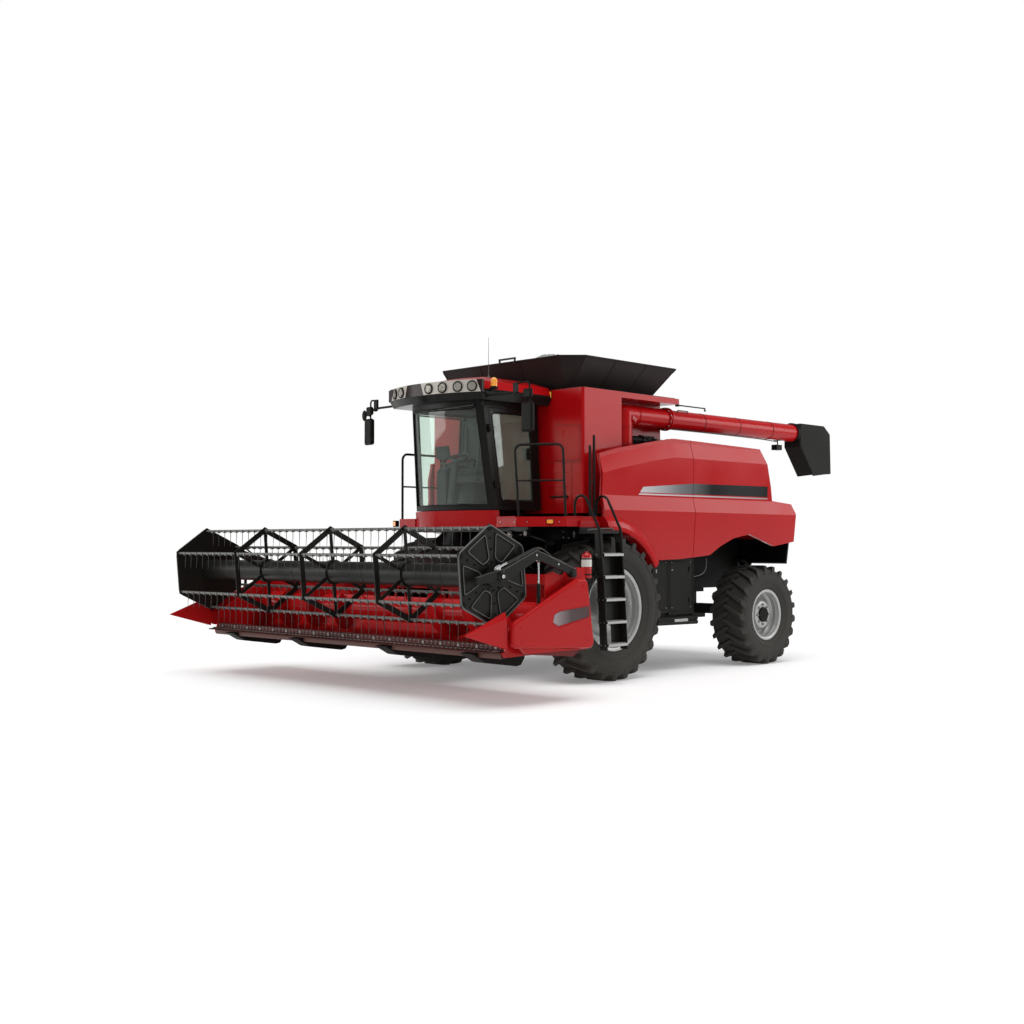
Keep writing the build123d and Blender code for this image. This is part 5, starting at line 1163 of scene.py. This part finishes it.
def buildDeckTrim():
    x0, y0, x1, y1 = deck["edge"]
    turn = Matrix.Rotation(math.atan2(y1 - y0, x1 - x0), 4, "Z")
    out = turn.to_3x3() @ Vector((0, -1, 0))
    amber, dark, red, bright = shapes(4)
    place = at(*deck["marker"]) + out * 0.004
    slab(amber, place + Vector((-0.04, -0.01, -0.024)), place + Vector((0.04, 0.01, 0.024)), turn)
    slab(dark, place + Vector((-0.047, -0.006, -0.031)), place + Vector((0.047, 0.006, 0.031)), turn)
    far = at(*deck["farMarker"])
    slab(dark, far + Vector((-0.06, -0.03, -0.045)), far + Vector((0.012, 0.03, 0.045)))
    slab(amber, far + Vector((-0.054, -0.04, -0.034)), far + Vector((0.006, -0.028, 0.034)))
    finishPiece(amber, "deckMarkers", "amberLens", bevel=0.005, segments=3)
    for x, y in ((1.155, -1.155), (0.9, -1.155)):  # bolts and folded lips of the deck edge
        bar(bright, (x, y + 0.006, 2.1), (x, y - 0.006, 2.1), 0.011, 6)
    for share in (0.22, 0.86):
        spot = at(x0 + (x1 - x0) * share, y0 + (y1 - y0) * share, 2.1)
        bar(bright, spot, spot + out * 0.01, 0.01, 6)
    slabs(red, ((0.83, -1.156, 2.158), (1.17, -1.146, 2.176)), ((1.694, -0.745, 2.158), (1.706, -0.12, 2.176)))
    finishPiece(red, "deckLip", "redPaint", bevel=0.003)
    finishPiece(bright, "deckBolts", "wornSteel")
    # chequered top: rows of raised bars
    tread = newShape()
    for i in range(9):
        for k in range(8):
            px, py = 0.93 + i * 0.085, -1.05 + k * 0.12
            if px + py * -1.3 > 0.2 and not (px > 1.12 and py < -1.15 + (px - 1.18) * 0.77 + 0.06):
                lean = Matrix.Rotation(0.785 if (i + k) % 2 else -0.785, 4, "Z")
                slab(tread, (px - 0.026, py - 0.005, 2.168), (px + 0.026, py + 0.005, 2.173), lean)
    finishPiece(tread, "deckTread", "darkRed")
    # valve block, work lamp, brackets and pipes under the deck
    slabs(dark, ((1.16, -0.62, 1.87), (1.47, -0.17, 2.012)), ((1.2, -0.6, 1.8), (1.34, -0.44, 1.872)),
        ((0.84, -0.98, 1.88), (1.02, -0.7, 1.99)))
    bars(dark, ((0.95, -1.04, 1.93), (0.95, -0.98, 1.93), 0.062, 24), ((1.22, -1.02, 1.955), (1.22, -0.97, 1.955), 0.05,
        24))
    slab(dark, (1.21, -0.99, 1.99), (1.23, -0.97, 2.04))
    bar(dark, (1.05, -0.35, 1.35), (1.05, -0.35, 1.95), 0.085, 24)
    for z in (1.46, 1.84):
        bar(dark, (1.05, -0.35, z), (1.05, -0.35, z + 0.03), 0.094, 24)
    slabs(dark, ((0.8, -0.43, 1.42), (0.97, -0.27, 1.5)), ((0.795, -0.49, 1.3), (0.815, -0.05, 1.98)))
    finishPiece(dark, "underDeck", "blackSteel", bevel=0.004)
    lens = newShape()
    for x, y, z, r in ((0.95, -1.044, 1.93, 0.052), (1.22, -1.024, 1.955, 0.04)):
        turned(lens, [(0.0, 0), (0.0, r), (0.006, r * 0.9), (0.011, r * 0.5), (0.012, 0)], (x, y, z), (0, -1, 0), steps=28)
    finishPiece(lens, "underDeckLamps", "lampGlass", sharp=50, weld=True)
    fittings = newShape()
    slab(fittings, (1.474, -0.378, 1.9), (1.484, -0.352, 1.985))
    bar(fittings, (1.462, -0.365, 1.945), (1.492, -0.365, 1.945), 0.018, 6)
    for y, z in ((-0.57, 1.98), (-0.57, 1.9), (-0.23, 1.962), (-0.46, 1.895)):
        bar(fittings, (1.462, y, z), (1.484, y, z), 0.012, 6)
    for y in (-0.92, -0.78):
        bar(fittings, (1.02, y, 1.94), (1.05, y, 1.94), 0.014, 6)
    finishPiece(fittings, "underDeckFittings", "wornSteel", bevel=0.001)
    for i, points in enumerate(deck["hoses"]):
        pipe(f"underDeckHose.{i + 1}", points, 0.014, "hoseRubber", order=4)
    pipe("ladderLoop", deck["loop"], 0.013, "greyAndPaintedHighlight")


boxTrim = {"bar": (1.25, 2.19),
           "cable": ((1.4, 2.68, 1.6), (1.42, 2.66, 1.46), (1.43, 2.56, 1.37), (1.46, 2.32, 1.33), (1.48, 2.19, 1.34))}


def buildBoxTrim():
    dark, steel, plate = shapes(3)
    for side, sign in handed:
        for y0, y1, z0, z1, x in ((1.17, 1.53, 0.88, 1.6, 1.56), (1.62, 2.15, 0.85, 1.56, 1.54)):
            seam = [at(sign * (x + 0.001), y, z) for y, z in ((y0, z0), (y1, z0), (y1, z1), (y0, z1))]
            closedBars(dark, seam, 0.0045, 8)
        for z in (1.0, 1.45):
            slab(dark, (sign * 1.552, 2.06, z - 0.035), (sign * 1.538, 2.12, z + 0.035))
            bar(dark, (sign * 1.565, 1.19, z - 0.05), (sign * 1.565, 1.19, z + 0.05), 0.01, 10)
        roundedPlate(steel, (sign * 1.565, 1.28, 1.429), 0.012, 0.026, 0.02, 0.008, 90 * sign)
        bar(steel, (sign * 1.538, 1.665, 1.44), (sign * 1.548, 1.665, 1.44), 0.012, 12)
        for y in (1.2, 1.5, 1.66, 2.1):
            for z in (0.9, 1.55):
                face = 1.556 if y < 1.56 else 1.536
                bar(steel, (sign * face, y, z), (sign * (face + 0.01), y, z), 0.008, 6)
        y0, y1 = boxTrim["bar"]
        bar(dark, (sign * 1.585, y0, 0.69), (sign * 1.585, y1, 0.68), 0.03, 16)
        slab(dark, (sign * 1.5, y0 + 0.02, 0.712), (sign * 1.606, y1, 0.732))
        for y in (y0 + 0.12, y1 - 0.12):
            slab(dark, (sign * 1.3, y - 0.02, 0.68), (sign * 1.585, y + 0.02, 0.7))
        for k in range(7):
            slab(plate, (sign * 1.56, 1.66 + k * 0.042, 0.735), (sign * 1.609, 1.684 + k * 0.042, 0.742))
        slab(plate, (sign * 1.604, 1.64, 0.7), (sign * 1.61, 1.95, 0.738))
        pipe(f"boxCable.{side}", [(sign * x, y, z) for x, y, z in boxTrim["cable"]], 0.008, "greyAndPaintedHighlight")
    finishPiece(dark, "boxTrim", "darkPlastic", bevel=0.0015)
    finishPiece(steel, "boxLatches", "wornSteel", bevel=0.001)
    finishPiece(plate, "boxStepGrip", "stepAlloy", bevel=0.001)


buildDeckTrim()
buildBoxTrim()
print("platform and boxes ready")


# cab: seals round the panes, door handle, wiper under the roof, brackets, hinge bolts and what shows inside
cab = {"handle": (0.79, -0.486, 3.037)}


def cabSide(z):  # half width and front edge of the cab's shell at a height
    share = (z - 2.27) / 1.43
    return 0.79 - 0.078 * share, -1.146 - 0.154 * share


def onScreen(x, z, lift=0.0):  # a point on the bowed windscreen
    half, front = cabSide(z)
    return at(x, front - 0.25 * (1 - (x / half) ** 2) - lift, z)


def buildCabTrim():
    seal, dark, bright = shapes(3)
    low, high = 2.335, 3.625
    rows = [onScreen(x, high, 0.004) for x in (-0.63, -0.5, -0.35, -0.18, 0, 0.18, 0.35, 0.5, 0.63)]
    foot = [onScreen(x, low, 0.004) for x in (0.71, 0.55, 0.38, 0.19, 0, -0.19, -0.38, -0.55, -0.71)]
    closedBars(seal, rows + foot, 0.009, 8)
    pane = ((-1.085, 2.345), (-1.215, 3.615), (-0.375, 3.615), (-0.375, 2.345))
    closedBars(seal, [at(-(cabSide(z)[0] + 0.002), y, z) for y, z in pane], 0.01, 8)
    finishPiece(seal, "cabSeals", "sealRubber", sharp=60)
    doorSeal = newShape()
    pane = ((-1.03, 2.397), (-1.152, 3.562), (-0.427, 3.562), (-0.427, 2.397))
    loopBar(doorSeal, cutCorners([at(cabSide(z)[0] + 0.001, y, z) for y, z in pane], 0.05), 0.009)
    finishPiece(doorSeal, "doorSeal", "sealRubber", "cab_door", sharp=60)
    handle = newShape()
    x, y, z = cab["handle"]
    slab(handle, (x - 0.04, y - 0.03, z - 0.075), (x - 0.026, y + 0.03, z + 0.075))
    bars(handle, ((x - 0.03, y, z - 0.05), (x + 0.004, y, z - 0.05), 0.01, 10), ((x - 0.03, y, z + 0.05),
        (x + 0.004, y, z + 0.05), 0.01, 10), ((x + 0.004, y, z - 0.062), (x + 0.004, y, z + 0.062), 0.012, 12))
    finishPiece(handle, "doorHandle", "darkPlastic", "cab_door", bevel=0.002)
    # wiper parked under the roof
    pipe("wiperBlade", [onScreen(-0.08, 3.6, 0.03), onScreen(0.25, 3.603, 0.032), onScreen(0.58, 3.6, 0.03)], 0.009,
        "sealRubber")
    pipe("wiperArm", [onScreen(0.62, 3.652, 0.02), onScreen(0.5, 3.63, 0.05), onScreen(0.25, 3.614, 0.046)], 0.007,
        "greyAndPaintedHighlight")
    bar(dark, onScreen(0.62, 3.652, -0.01), onScreen(0.62, 3.652, 0.034), 0.02, 16)
    # bracket and handle at the roof's corner, and brackets where the mirror arms are held
    bar(dark, (0.76, -1.33, 3.672), (0.9, -1.345, 3.664), 0.016, 12)
    slab(dark, (0.735, -1.35, 3.64), (0.79, -1.3, 3.7))
    for sign in (1, -1):
        slab(dark, (sign * 0.845, -1.445, 3.722), (sign * 0.925, -1.392, 3.782))
        bars(dark, ((sign * 1.395, -1.384, 3.735), (sign * 1.44, -1.384, 3.735), 0.026, 16),
            ((sign * 1.594, -1.33, 3.6), (sign * 1.594, -1.3, 3.6), 0.02, 12))
    finishPiece(dark, "cabBrackets", "darkPlastic", bevel=0.003)
    for px, py, pz in ((0.8, -1.209, 3.041), (0.8, -1.125, 2.409)):
        bar(bright, (px + 0.012, py + 0.1, pz), (px + 0.022, py + 0.1, pz), 0.01, 6)
    finishPiece(bright, "hingeBolts", "wornSteel", "cab_door")
    # inside: wheel hub, monitor face, keys, pillar trims and a grab bar
    wheel = newShape()
    middle = at(0, -1.13, 2.98)
    axis = Matrix.Rotation(math.radians(24), 3, "X") @ Vector((0, 0, 1))
    turned(wheel, [(0.0, 0), (0.0, 0.058), (0.018, 0.056), (0.026, 0.04), (0.028, 0)], middle, axis, steps=28)
    finishPiece(wheel, "wheelHub", "darkPlastic", weld=True)
    screen = newShape()
    slab(screen, (-0.54, -0.958, 3.015), (-0.32, -0.952, 3.165), Matrix.Rotation(math.radians(14), 4, "X"))
    finishPiece(screen, "monitorFace", "screenGlass", bevel=0.002)
    keys = newShape()
    for i in range(4):
        for k in range(2):
            slab(keys, (-0.48 + k * 0.05, -0.8 + i * 0.05, 2.915 - i * 0.002), (-0.45 + k * 0.05, -0.775 + i * 0.05,
                2.925 - i * 0.002))
    finishPiece(keys, "consoleKeys", "aerialGrey", bevel=0.002)
    trim = newShape()
    for sign in (1, -1):
        slab(trim, (sign * 0.6, -0.352, 2.36), (sign * 0.7, -0.336, 3.6))
    slabs(trim, ((-0.6, -0.355, 3.5), (0.6, -0.336, 3.62)), ((-0.55, -1.25, 3.655), (0.55, -0.4, 3.69)))
    bar(trim, (0.645, -1.06, 2.62), (0.615, -1.16, 3.3), 0.014, 12)
    finishPiece(trim, "cabLining", "liningGreen", bevel=0.006)


buildCabTrim()
print("cab trim ready")


# seat: pleated base and arms as rigid pieces, stuffed cushions with sewn channels
seatParts = {
    "seatCushion": {"size": (0.5, 0.49, 0.13), "place": (0, -0.765, 2.805), "lean": None, "cap": 0.024, "soft": 0.045,
                    "rest": True, "channels": (("x", -0.145), ("x", 0.145), ("y", 0.115))},
    "seatBack": {"size": (0.47, 0.5, 0.11), "place": (0, -0.53, 2.84), "lean": (0, 0.005, 0.25), "cap": 0.024, "soft": 0.04,
                 "rest": False, "channels": (("x", -0.14), ("x", 0.14), ("y", -0.11), ("y", 0.09))},
    "seatHeadrest": {"size": (0.24, 0.14, 0.09), "place": (0, -0.46, 3.295), "lean": (0, 0, 0.07), "cap": 0.018,
                     "soft": 0.032, "rest": False, "channels": (("x", -0.07), ("x", 0.07))},
}
stuffing = {"voxel": 0.006, "pressure": 4, "frames": 20, "seamWidth": 0.008, "seamDepth": 0.009, "back": -8}


def stuffed(name):
    part = seatParts[name]
    size, cap = Vector(part["size"]), part["cap"]
    small = size - Vector((1, 1, 1)) * cap * 1.5
    if part["rest"]:
        small.z = size.z - cap * 0.9
    bm = newShape()
    slab(bm, -small / 2, small / 2)
    if part["rest"]:
        bmesh.ops.translate(bm, verts=bm.verts, vec=(0, 0, -(size.z - small.z) / 2))
    soft = min(part["soft"], min(small) * 0.42)
    bmesh.ops.bevel(bm, geom=bm.edges[:], offset=soft, segments=5, profile=0.5, affect="EDGES", material=-1)
    bmesh.ops.recalc_face_normals(bm, faces=bm.faces)
    mesh = bpy.data.meshes.new(name)
    bm.to_mesh(mesh)
    bm.free()
    piece = bpy.data.objects.new(name, mesh)
    scene.collection.objects.link(piece)
    remesh = piece.modifiers.new("evenMesh", "REMESH")
    remesh.mode = "VOXEL"
    remesh.voxel_size = stuffing["voxel"]
    shape = piece.evaluated_get(bpy.context.evaluated_depsgraph_get())
    even = bpy.data.meshes.new_from_object(shape)
    piece.modifiers.clear()
    piece.data = even
    even.name = name
    start = [v.co.copy() for v in even.vertices]
    cloth = piece.modifiers.new("stuffing", "CLOTH")
    cloth.settings.quality = 5
    cloth.settings.use_pressure = True
    cloth.settings.uniform_pressure_force = stuffing["pressure"]
    cloth.settings.effector_weights.gravity = 0
    cloth.point_cache.frame_start, cloth.point_cache.frame_end = 1, stuffing["frames"]
    for frameNumber in range(1, stuffing["frames"] + 1):
        scene.frame_set(frameNumber)
    swollen = piece.evaluated_get(bpy.context.evaluated_depsgraph_get()).data
    ends = [v.co.copy() for v in swollen.vertices]
    piece.modifiers.clear()
    scene.frame_set(1)
    for vert, a, b in zip(even.vertices, start, ends):
        move = b - a
        if move.length > cap:
            move *= cap / move.length
        vert.co = a + move
        if part["rest"]:
            vert.co.z = max(vert.co.z, -size.z / 2)
    normals = [v.normal.copy() for v in even.vertices]
    for vert, normal in zip(even.vertices, normals):
        if normal.z > 0.3:
            sink = 0.0
            for along, place in part["channels"]:
                gap = getattr(vert.co, along) - place
                sink = max(sink, math.exp(-(gap / stuffing["seamWidth"]) ** 2))
            vert.co -= normal * stuffing["seamDepth"] * sink
    matrix = Matrix.Translation(at(*part["place"]))
    if part["lean"]:
        matrix = (matrix @ Matrix.Rotation(math.radians(stuffing["back"]), 4, "X") @ Matrix.Translation(part["lean"])
                  @ Matrix.Rotation(math.radians(90), 4, "X"))
    even.transform(matrix)
    even.materials.clear()
    even.materials.append(materials["seatWeave"])
    even.shade_smooth()
    smoother = piece.modifiers.new("smoother", "SUBSURF")
    smoother.levels = smoother.render_levels = 1
    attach(piece, "machine")
    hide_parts("seat")


def buildSeatBase():
    bm = newShape()
    pleats = 9
    for i in range(pleats):
        share = (i + 0.5) / pleats
        z = 2.32 + 0.342 * share
        for grow, thick in ((0.01, 0.01), (-0.006, 0.02)):
            wide, deep = 0.18 - 0.06 * share + grow, 0.19 - 0.06 * share + grow
            slab(bm, (-wide, -0.76 - deep, z - thick), (wide, -0.76 + deep, z + thick))
    finishPiece(bm, "seatBellows", "sealRubber", bevel=0.003)
    bm = newShape()
    slabs(bm, ((-0.19, -0.93, 2.662), (0.19, -0.56, 2.744)), ((-0.235, -0.565, 2.77), (0.235, -0.525, 2.83)),
        ((-0.215, -0.99, 2.736), (0.215, -0.54, 2.75)))
    for sign in (1, -1):
        slabs(bm, ((sign * 0.245, -0.57, 2.78), (sign * 0.28, -0.52, 2.98)), ((sign * 0.19, -0.56, 2.785),
            (sign * 0.275, -0.535, 2.825)))
        bars(bm, ((sign * 0.07, -0.452, 3.2), (sign * 0.07, -0.436, 3.33), 0.008, 10), ((sign * 0.2, -0.9, 2.7),
            (sign * 0.255, -0.9, 2.7), 0.018, 16))
    finishPiece(bm, "seatFrame", "cabTrim", bevel=0.005, segments=3)
    bm = newShape()
    for sign in (1, -1):
        low, high = sorted((sign * 0.235, sign * 0.29))
        slab(bm, (low, -0.88, 2.96), (high, -0.51, 3.01))
    arms = finishPiece(bm, "seatArms", "cabTrim", bevel=0.018, segments=5, sharp=50)
    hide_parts("seat")


for name in seatParts:
    stuffed(name)
buildSeatBase()
print("seat ready")


# rear hood: louvred back, pressed seams, tail lamps and the straw board below it
hood = {"axle": 3.512, "louvres": 9, "vanes": 7, "normal": (0.93, 0.368)}


def hoodSlope(share, lift=0.0):  # a point on the sloping back sheet, 0 at its top
    y = hood["axle"] + 0.188 + (0.418 - 0.188) * share
    z = 3.06 + (2.48 - 3.06) * share
    return y + lift * hood["normal"][0], z + lift * hood["normal"][1]


def hoodRear(z, lift=0.0):  # a point on the upright rear face
    return hood["axle"] + 1.008 - 0.02 * (2.29 - z) / 0.44 + lift


def slopeSheet(bm, x0, x1, upper, lower, thick):  # a sheet on the sloping back, between two heights
    (ya, za), (yb, zb) = upper, lower
    outline(bm, [(x0, ya, za), (x1, ya, za), (x1, yb, zb), (x0, yb, zb)], Vector((0, *hood["normal"])) * thick)


def buildHoodTrim():
    dark, slats, seams, bright, bolts, rubber = shapes(6)
    wide = 0.8
    for low in (0.1, -0.9):
        for x0, x1, s0, s1 in ((low, low + wide, 0.1, 0.16), (low, low + wide, 0.84, 0.9), (low, low + 0.04, 0.16, 0.84),
                               (low + wide - 0.04, low + wide, 0.16, 0.84)):
            slopeSheet(dark, x0, x1, hoodSlope(s0, 0.001), hoodSlope(s1, 0.001), 0.016)
        for i in range(hood["louvres"]):
            share = 0.2 + 0.6 * i / (hood["louvres"] - 1)
            slopeSheet(slats, low + 0.05, low + wide - 0.05, hoodSlope(share - 0.025, 0.014), hoodSlope(share + 0.03, 0.003),
                       0.004)
        slopeSheet(rubber, low + 0.02, low + wide - 0.02, hoodSlope(0.12, 0.001), hoodSlope(0.88, 0.001), 0.0015)
    for x in (-1.25, -0.42, 0.42, 1.25):
        y0, y1 = hoodRear(2.24, 0.0005), hoodRear(1.9, 0.0005)
        outline(seams, [(x - 0.003, y0, 2.24), (x + 0.003, y0, 2.24), (x + 0.003, y1, 1.9), (x - 0.003, y1, 1.9)],
                (0, 0.0015, 0))
    for z in (1.955, 2.215):  # pressed ribs
        for x0, x1 in ((-1.2, -0.47), (-0.37, 0.37), (0.47, 1.2)):
            bar(bright, (x0, hoodRear(z), z), (x1, hoodRear(z), z), 0.009, 12)
    for i in range(9):
        for z in (1.9, 2.26):
            x, y = -1.6 + i * 0.4, hoodRear(z)
            bar(bolts, (x, y - 0.002, z), (x, y + 0.007, z), 0.009, 6)
    finishPiece(dark, "hoodGrilleFrames", "blackSteel", bevel=0.003)
    finishPiece(slats, "hoodLouvres", "darkPlastic")
    finishPiece(rubber, "hoodGrilleNets", "blackSteel")
    finishPiece(seams, "hoodSeams", "blackSteel")
    finishPiece(bright, "hoodRibs", "redPaint")
    finishPiece(bolts, "hoodBolts", "wornSteel")
    lampBox, red, amber, clear = shapes(4)
    y = hoodRear(2.08)
    for sign in (1, -1):
        slab(lampBox, (sign * 1.455 - 0.135, y - 0.004, 2.015), (sign * 1.455 + 0.135, y + 0.034, 2.15))
        for shape, offset in ((red, 0.078), (amber, 0.0), (clear, -0.078)):
            middle = at(sign * (1.455 + offset), y + 0.034, 2.083)
            turned(shape, [(0, 0), (0, 0.034), (0.008, 0.034), (0.014, 0.028), (0.018, 0.012), (0.019, 0)], middle,
                (0, 1, 0), 24, closed=False)
    for x in (-0.55, 0.55):  # grab handle across the rear
        bar(lampBox, (x, y - 0.002, 2.085), (x, y + 0.062, 2.085), 0.011, 16)
    bar(lampBox, (-0.575, y + 0.06, 2.085), (0.575, y + 0.06, 2.085), 0.013, 16)
    finishPiece(lampBox, "tailLampBoxes", "darkPlastic", bevel=0.004, segments=3)
    finishPiece(red, "tailLampReds", "bottleRed", sharp=50, weld=True)
    finishPiece(amber, "tailLampAmbers", "amberLens", sharp=50, weld=True)
    finishPiece(clear, "tailLampClears", "clearLens", sharp=50, weld=True)
    board, vanes = shapes(2)
    outline(board, [(-0.98, 4.3, 1.56), (0.98, 4.3, 1.56), (0.98, 4.64, 1.33), (-0.98, 4.64, 1.33)], (0, 0.004, 0.006))
    for sign in (1, -1):
        outline(board, [(sign * 0.98, 4.29, 1.566), (sign * 0.98, 4.645, 1.326), (sign * 0.98, 4.6, 1.27),
            (sign * 0.98, 4.3, 1.43)], (sign * 0.006, 0, 0))
        slab(board, (sign * 0.985 - 0.02, 4.4, 1.475), (sign * 0.985 + 0.02, 4.448, 1.64))
    for i in range(hood["vanes"]):
        x = (i - (hood["vanes"] - 1) / 2) * 0.275
        outline(vanes, [(x, 4.32, 1.546), (x, 4.635, 1.333), (x + x * 0.12, 4.61, 1.29), (x + x * 0.03, 4.33, 1.478)],
            (0.005, 0, 0))
    finishPiece(board, "strawBoard", "blackSteel", bevel=0.001)
    finishPiece(vanes, "strawVanes", "blackSteel")


# engine deck: air screen, cleaner bands, silencer and expansion tank; the cap over the rising auger
deckGear = {"top": 3.1, "screen": (-1.19, 2.64, 3.39, 0.255), "cleaner": (0.52, 3.265, 0.165),
            "silencer": (-0.35, 3.21, 0.13)}


def buildEngineGear():
    steel, dark, bright, plain = shapes(4)
    x, y, z, r = deckGear["screen"]
    turned(dark, [(0, r - 0.03), (0, r + 0.012), (0.028, r + 0.012), (0.04, r), (0.04, r - 0.03)], (x, y, z), (0, 0, 1), 48)
    for k in range(6):
        ring = 0.045 + 0.033 * k
        hoop(bright, 0.018, 0.024, ring, ring + 0.014, (x, y, z), (0, 0, 1), 40)
    bar(dark, (x, y, z), (x, y, z + 0.052), 0.04, 24, 0.032)
    slab(dark, (x - 0.235, y - 0.014, z + 0.03), (x + 0.235, y + 0.014, z + 0.046))
    turned(plain, [(0, 0), (0, r), (0.004, r), (0.004, 0)], (x, y, z), (0, 0, 1), 40, closed=False)
    cx, cz, cr = deckGear["cleaner"]
    for along in (2.26, 2.58, 2.86):
        hoop(bright, 0, 0.024, cr - 0.001, cr + 0.005, (cx, along, cz), (0, 1, 0), 40)
        slab(bright, (cx - 0.022, along, cz + cr), (cx + 0.022, along + 0.024, cz + cr + 0.02))
    turned(dark, [(0, 0), (0, 0.075), (0.05, 0.095), (0.11, 0.095), (0.15, 0.06), (0.16, 0)], (cx, 2.44, cz + cr - 0.012),
        (0, 0, 1), 36)
    for k in range(5):
        hoop(dark, 0, 0.01, cr * 0.93, cr + 0.003, (cx, 2.165 + k * 0.018, cz), (0, 1, 0), 36)
    sx, sz, sr = deckGear["silencer"]
    for along in (2.36, 2.62, 2.78, 2.93):
        hoop(steel, 0, 0.02, sr - 0.001, sr + 0.006, (sx, along, sz), (0, 1, 0), 36)
    turned(steel, [(0, 0.06), (0, 0.082), (0.03, 0.082), (0.045, 0.066), (0.11, 0.066), (0.11, 0.056), (0.0, 0.056)],
        (sx, 2.7, 3.478), (0, 0, 1), 32)
    for sign in (1, -1):
        slabs(steel, ((sx + sign * 0.06 - 0.012, 2.34, 3.1), (sx + sign * 0.06 + 0.012, 2.4, sz - 0.06)),
            ((sx + sign * 0.06 - 0.012, 2.9, 3.1), (sx + sign * 0.06 + 0.012, 2.96, sz - 0.06)))
    slab(plain, (-0.02, 3.15, deckGear["top"]), (0.3, 3.38, deckGear["top"] + 0.15))
    turned(dark, [(0, 0), (0, 0.036), (0.022, 0.036), (0.026, 0.03), (0.026, 0)], (0.06, 3.265, deckGear["top"] + 0.149),
        (0, 0, 1), 24)
    for px in (-1.2, -0.6, 0.0, 0.6, 1.2):
        for py in (2.02, 3.58):
            bar(bright, (px, py, deckGear["top"] - 0.002), (px, py, deckGear["top"] + 0.007), 0.011, 6)
    finishPiece(steel, "engineDeckSteel", "wornSteel", bevel=0.001)
    finishPiece(dark, "engineDeckFittings", "darkPlastic", bevel=0.002)
    finishPiece(bright, "engineDeckBands", "brightSteel")
    finishPiece(plain, "engineDeckTank", "sealRubber", bevel=0.006, segments=3)
    cap, stay = shapes(2)
    turned(cap, [(0, 0.1), (0, 0.285), (0.045, 0.285), (0.105, 0.235), (0.15, 0.14), (0.168, 0.045), (0.17, 0.0),
        (0.15, 0.0)], (0, 0.78, 4.44), (0, 0, 1), 36)
    for k in range(12):
        turn = Matrix.Rotation(k * math.pi / 6, 3, "Z")
        outer, mid, inner = (turn @ Vector((a, 0, b)) for a, b in ((0.284, 0.045), (0.236, 0.107), (0.12, 0.16)))
        base = at(0, 0.78, 4.44)
        bars(cap, (base + outer, base + mid, 0.006, 8), (base + mid, base + inner, 0.006, 8))
    finishPiece(cap, "augerCap", "silverPaint", weld=True)
    slab(stay, (0.0, -0.313, 4.402), (0.33, -0.289, 4.426))
    for px in (0.015, 0.315):
        slab(stay, (px - 0.012, -0.311, 4.335), (px + 0.012, -0.291, 4.405))
    finishPiece(stay, "flapStay", "blackPaint", bevel=0.002)


def buildDeckSeal():  # a rubber strip closes the slot between the deck and the hood
    bm = newShape()
    slabs(bm, ((-1.59, 3.615, 3.1), (1.59, 3.706, 3.108)), ((-1.59, 3.696, 3.058), (1.59, 3.706, 3.102)))
    finishPiece(bm, "deckSeal", "sealRubber", bevel=0.002)


buildHoodTrim()
buildEngineGear()
buildDeckSeal()
print("rear hood and engine deck ready")
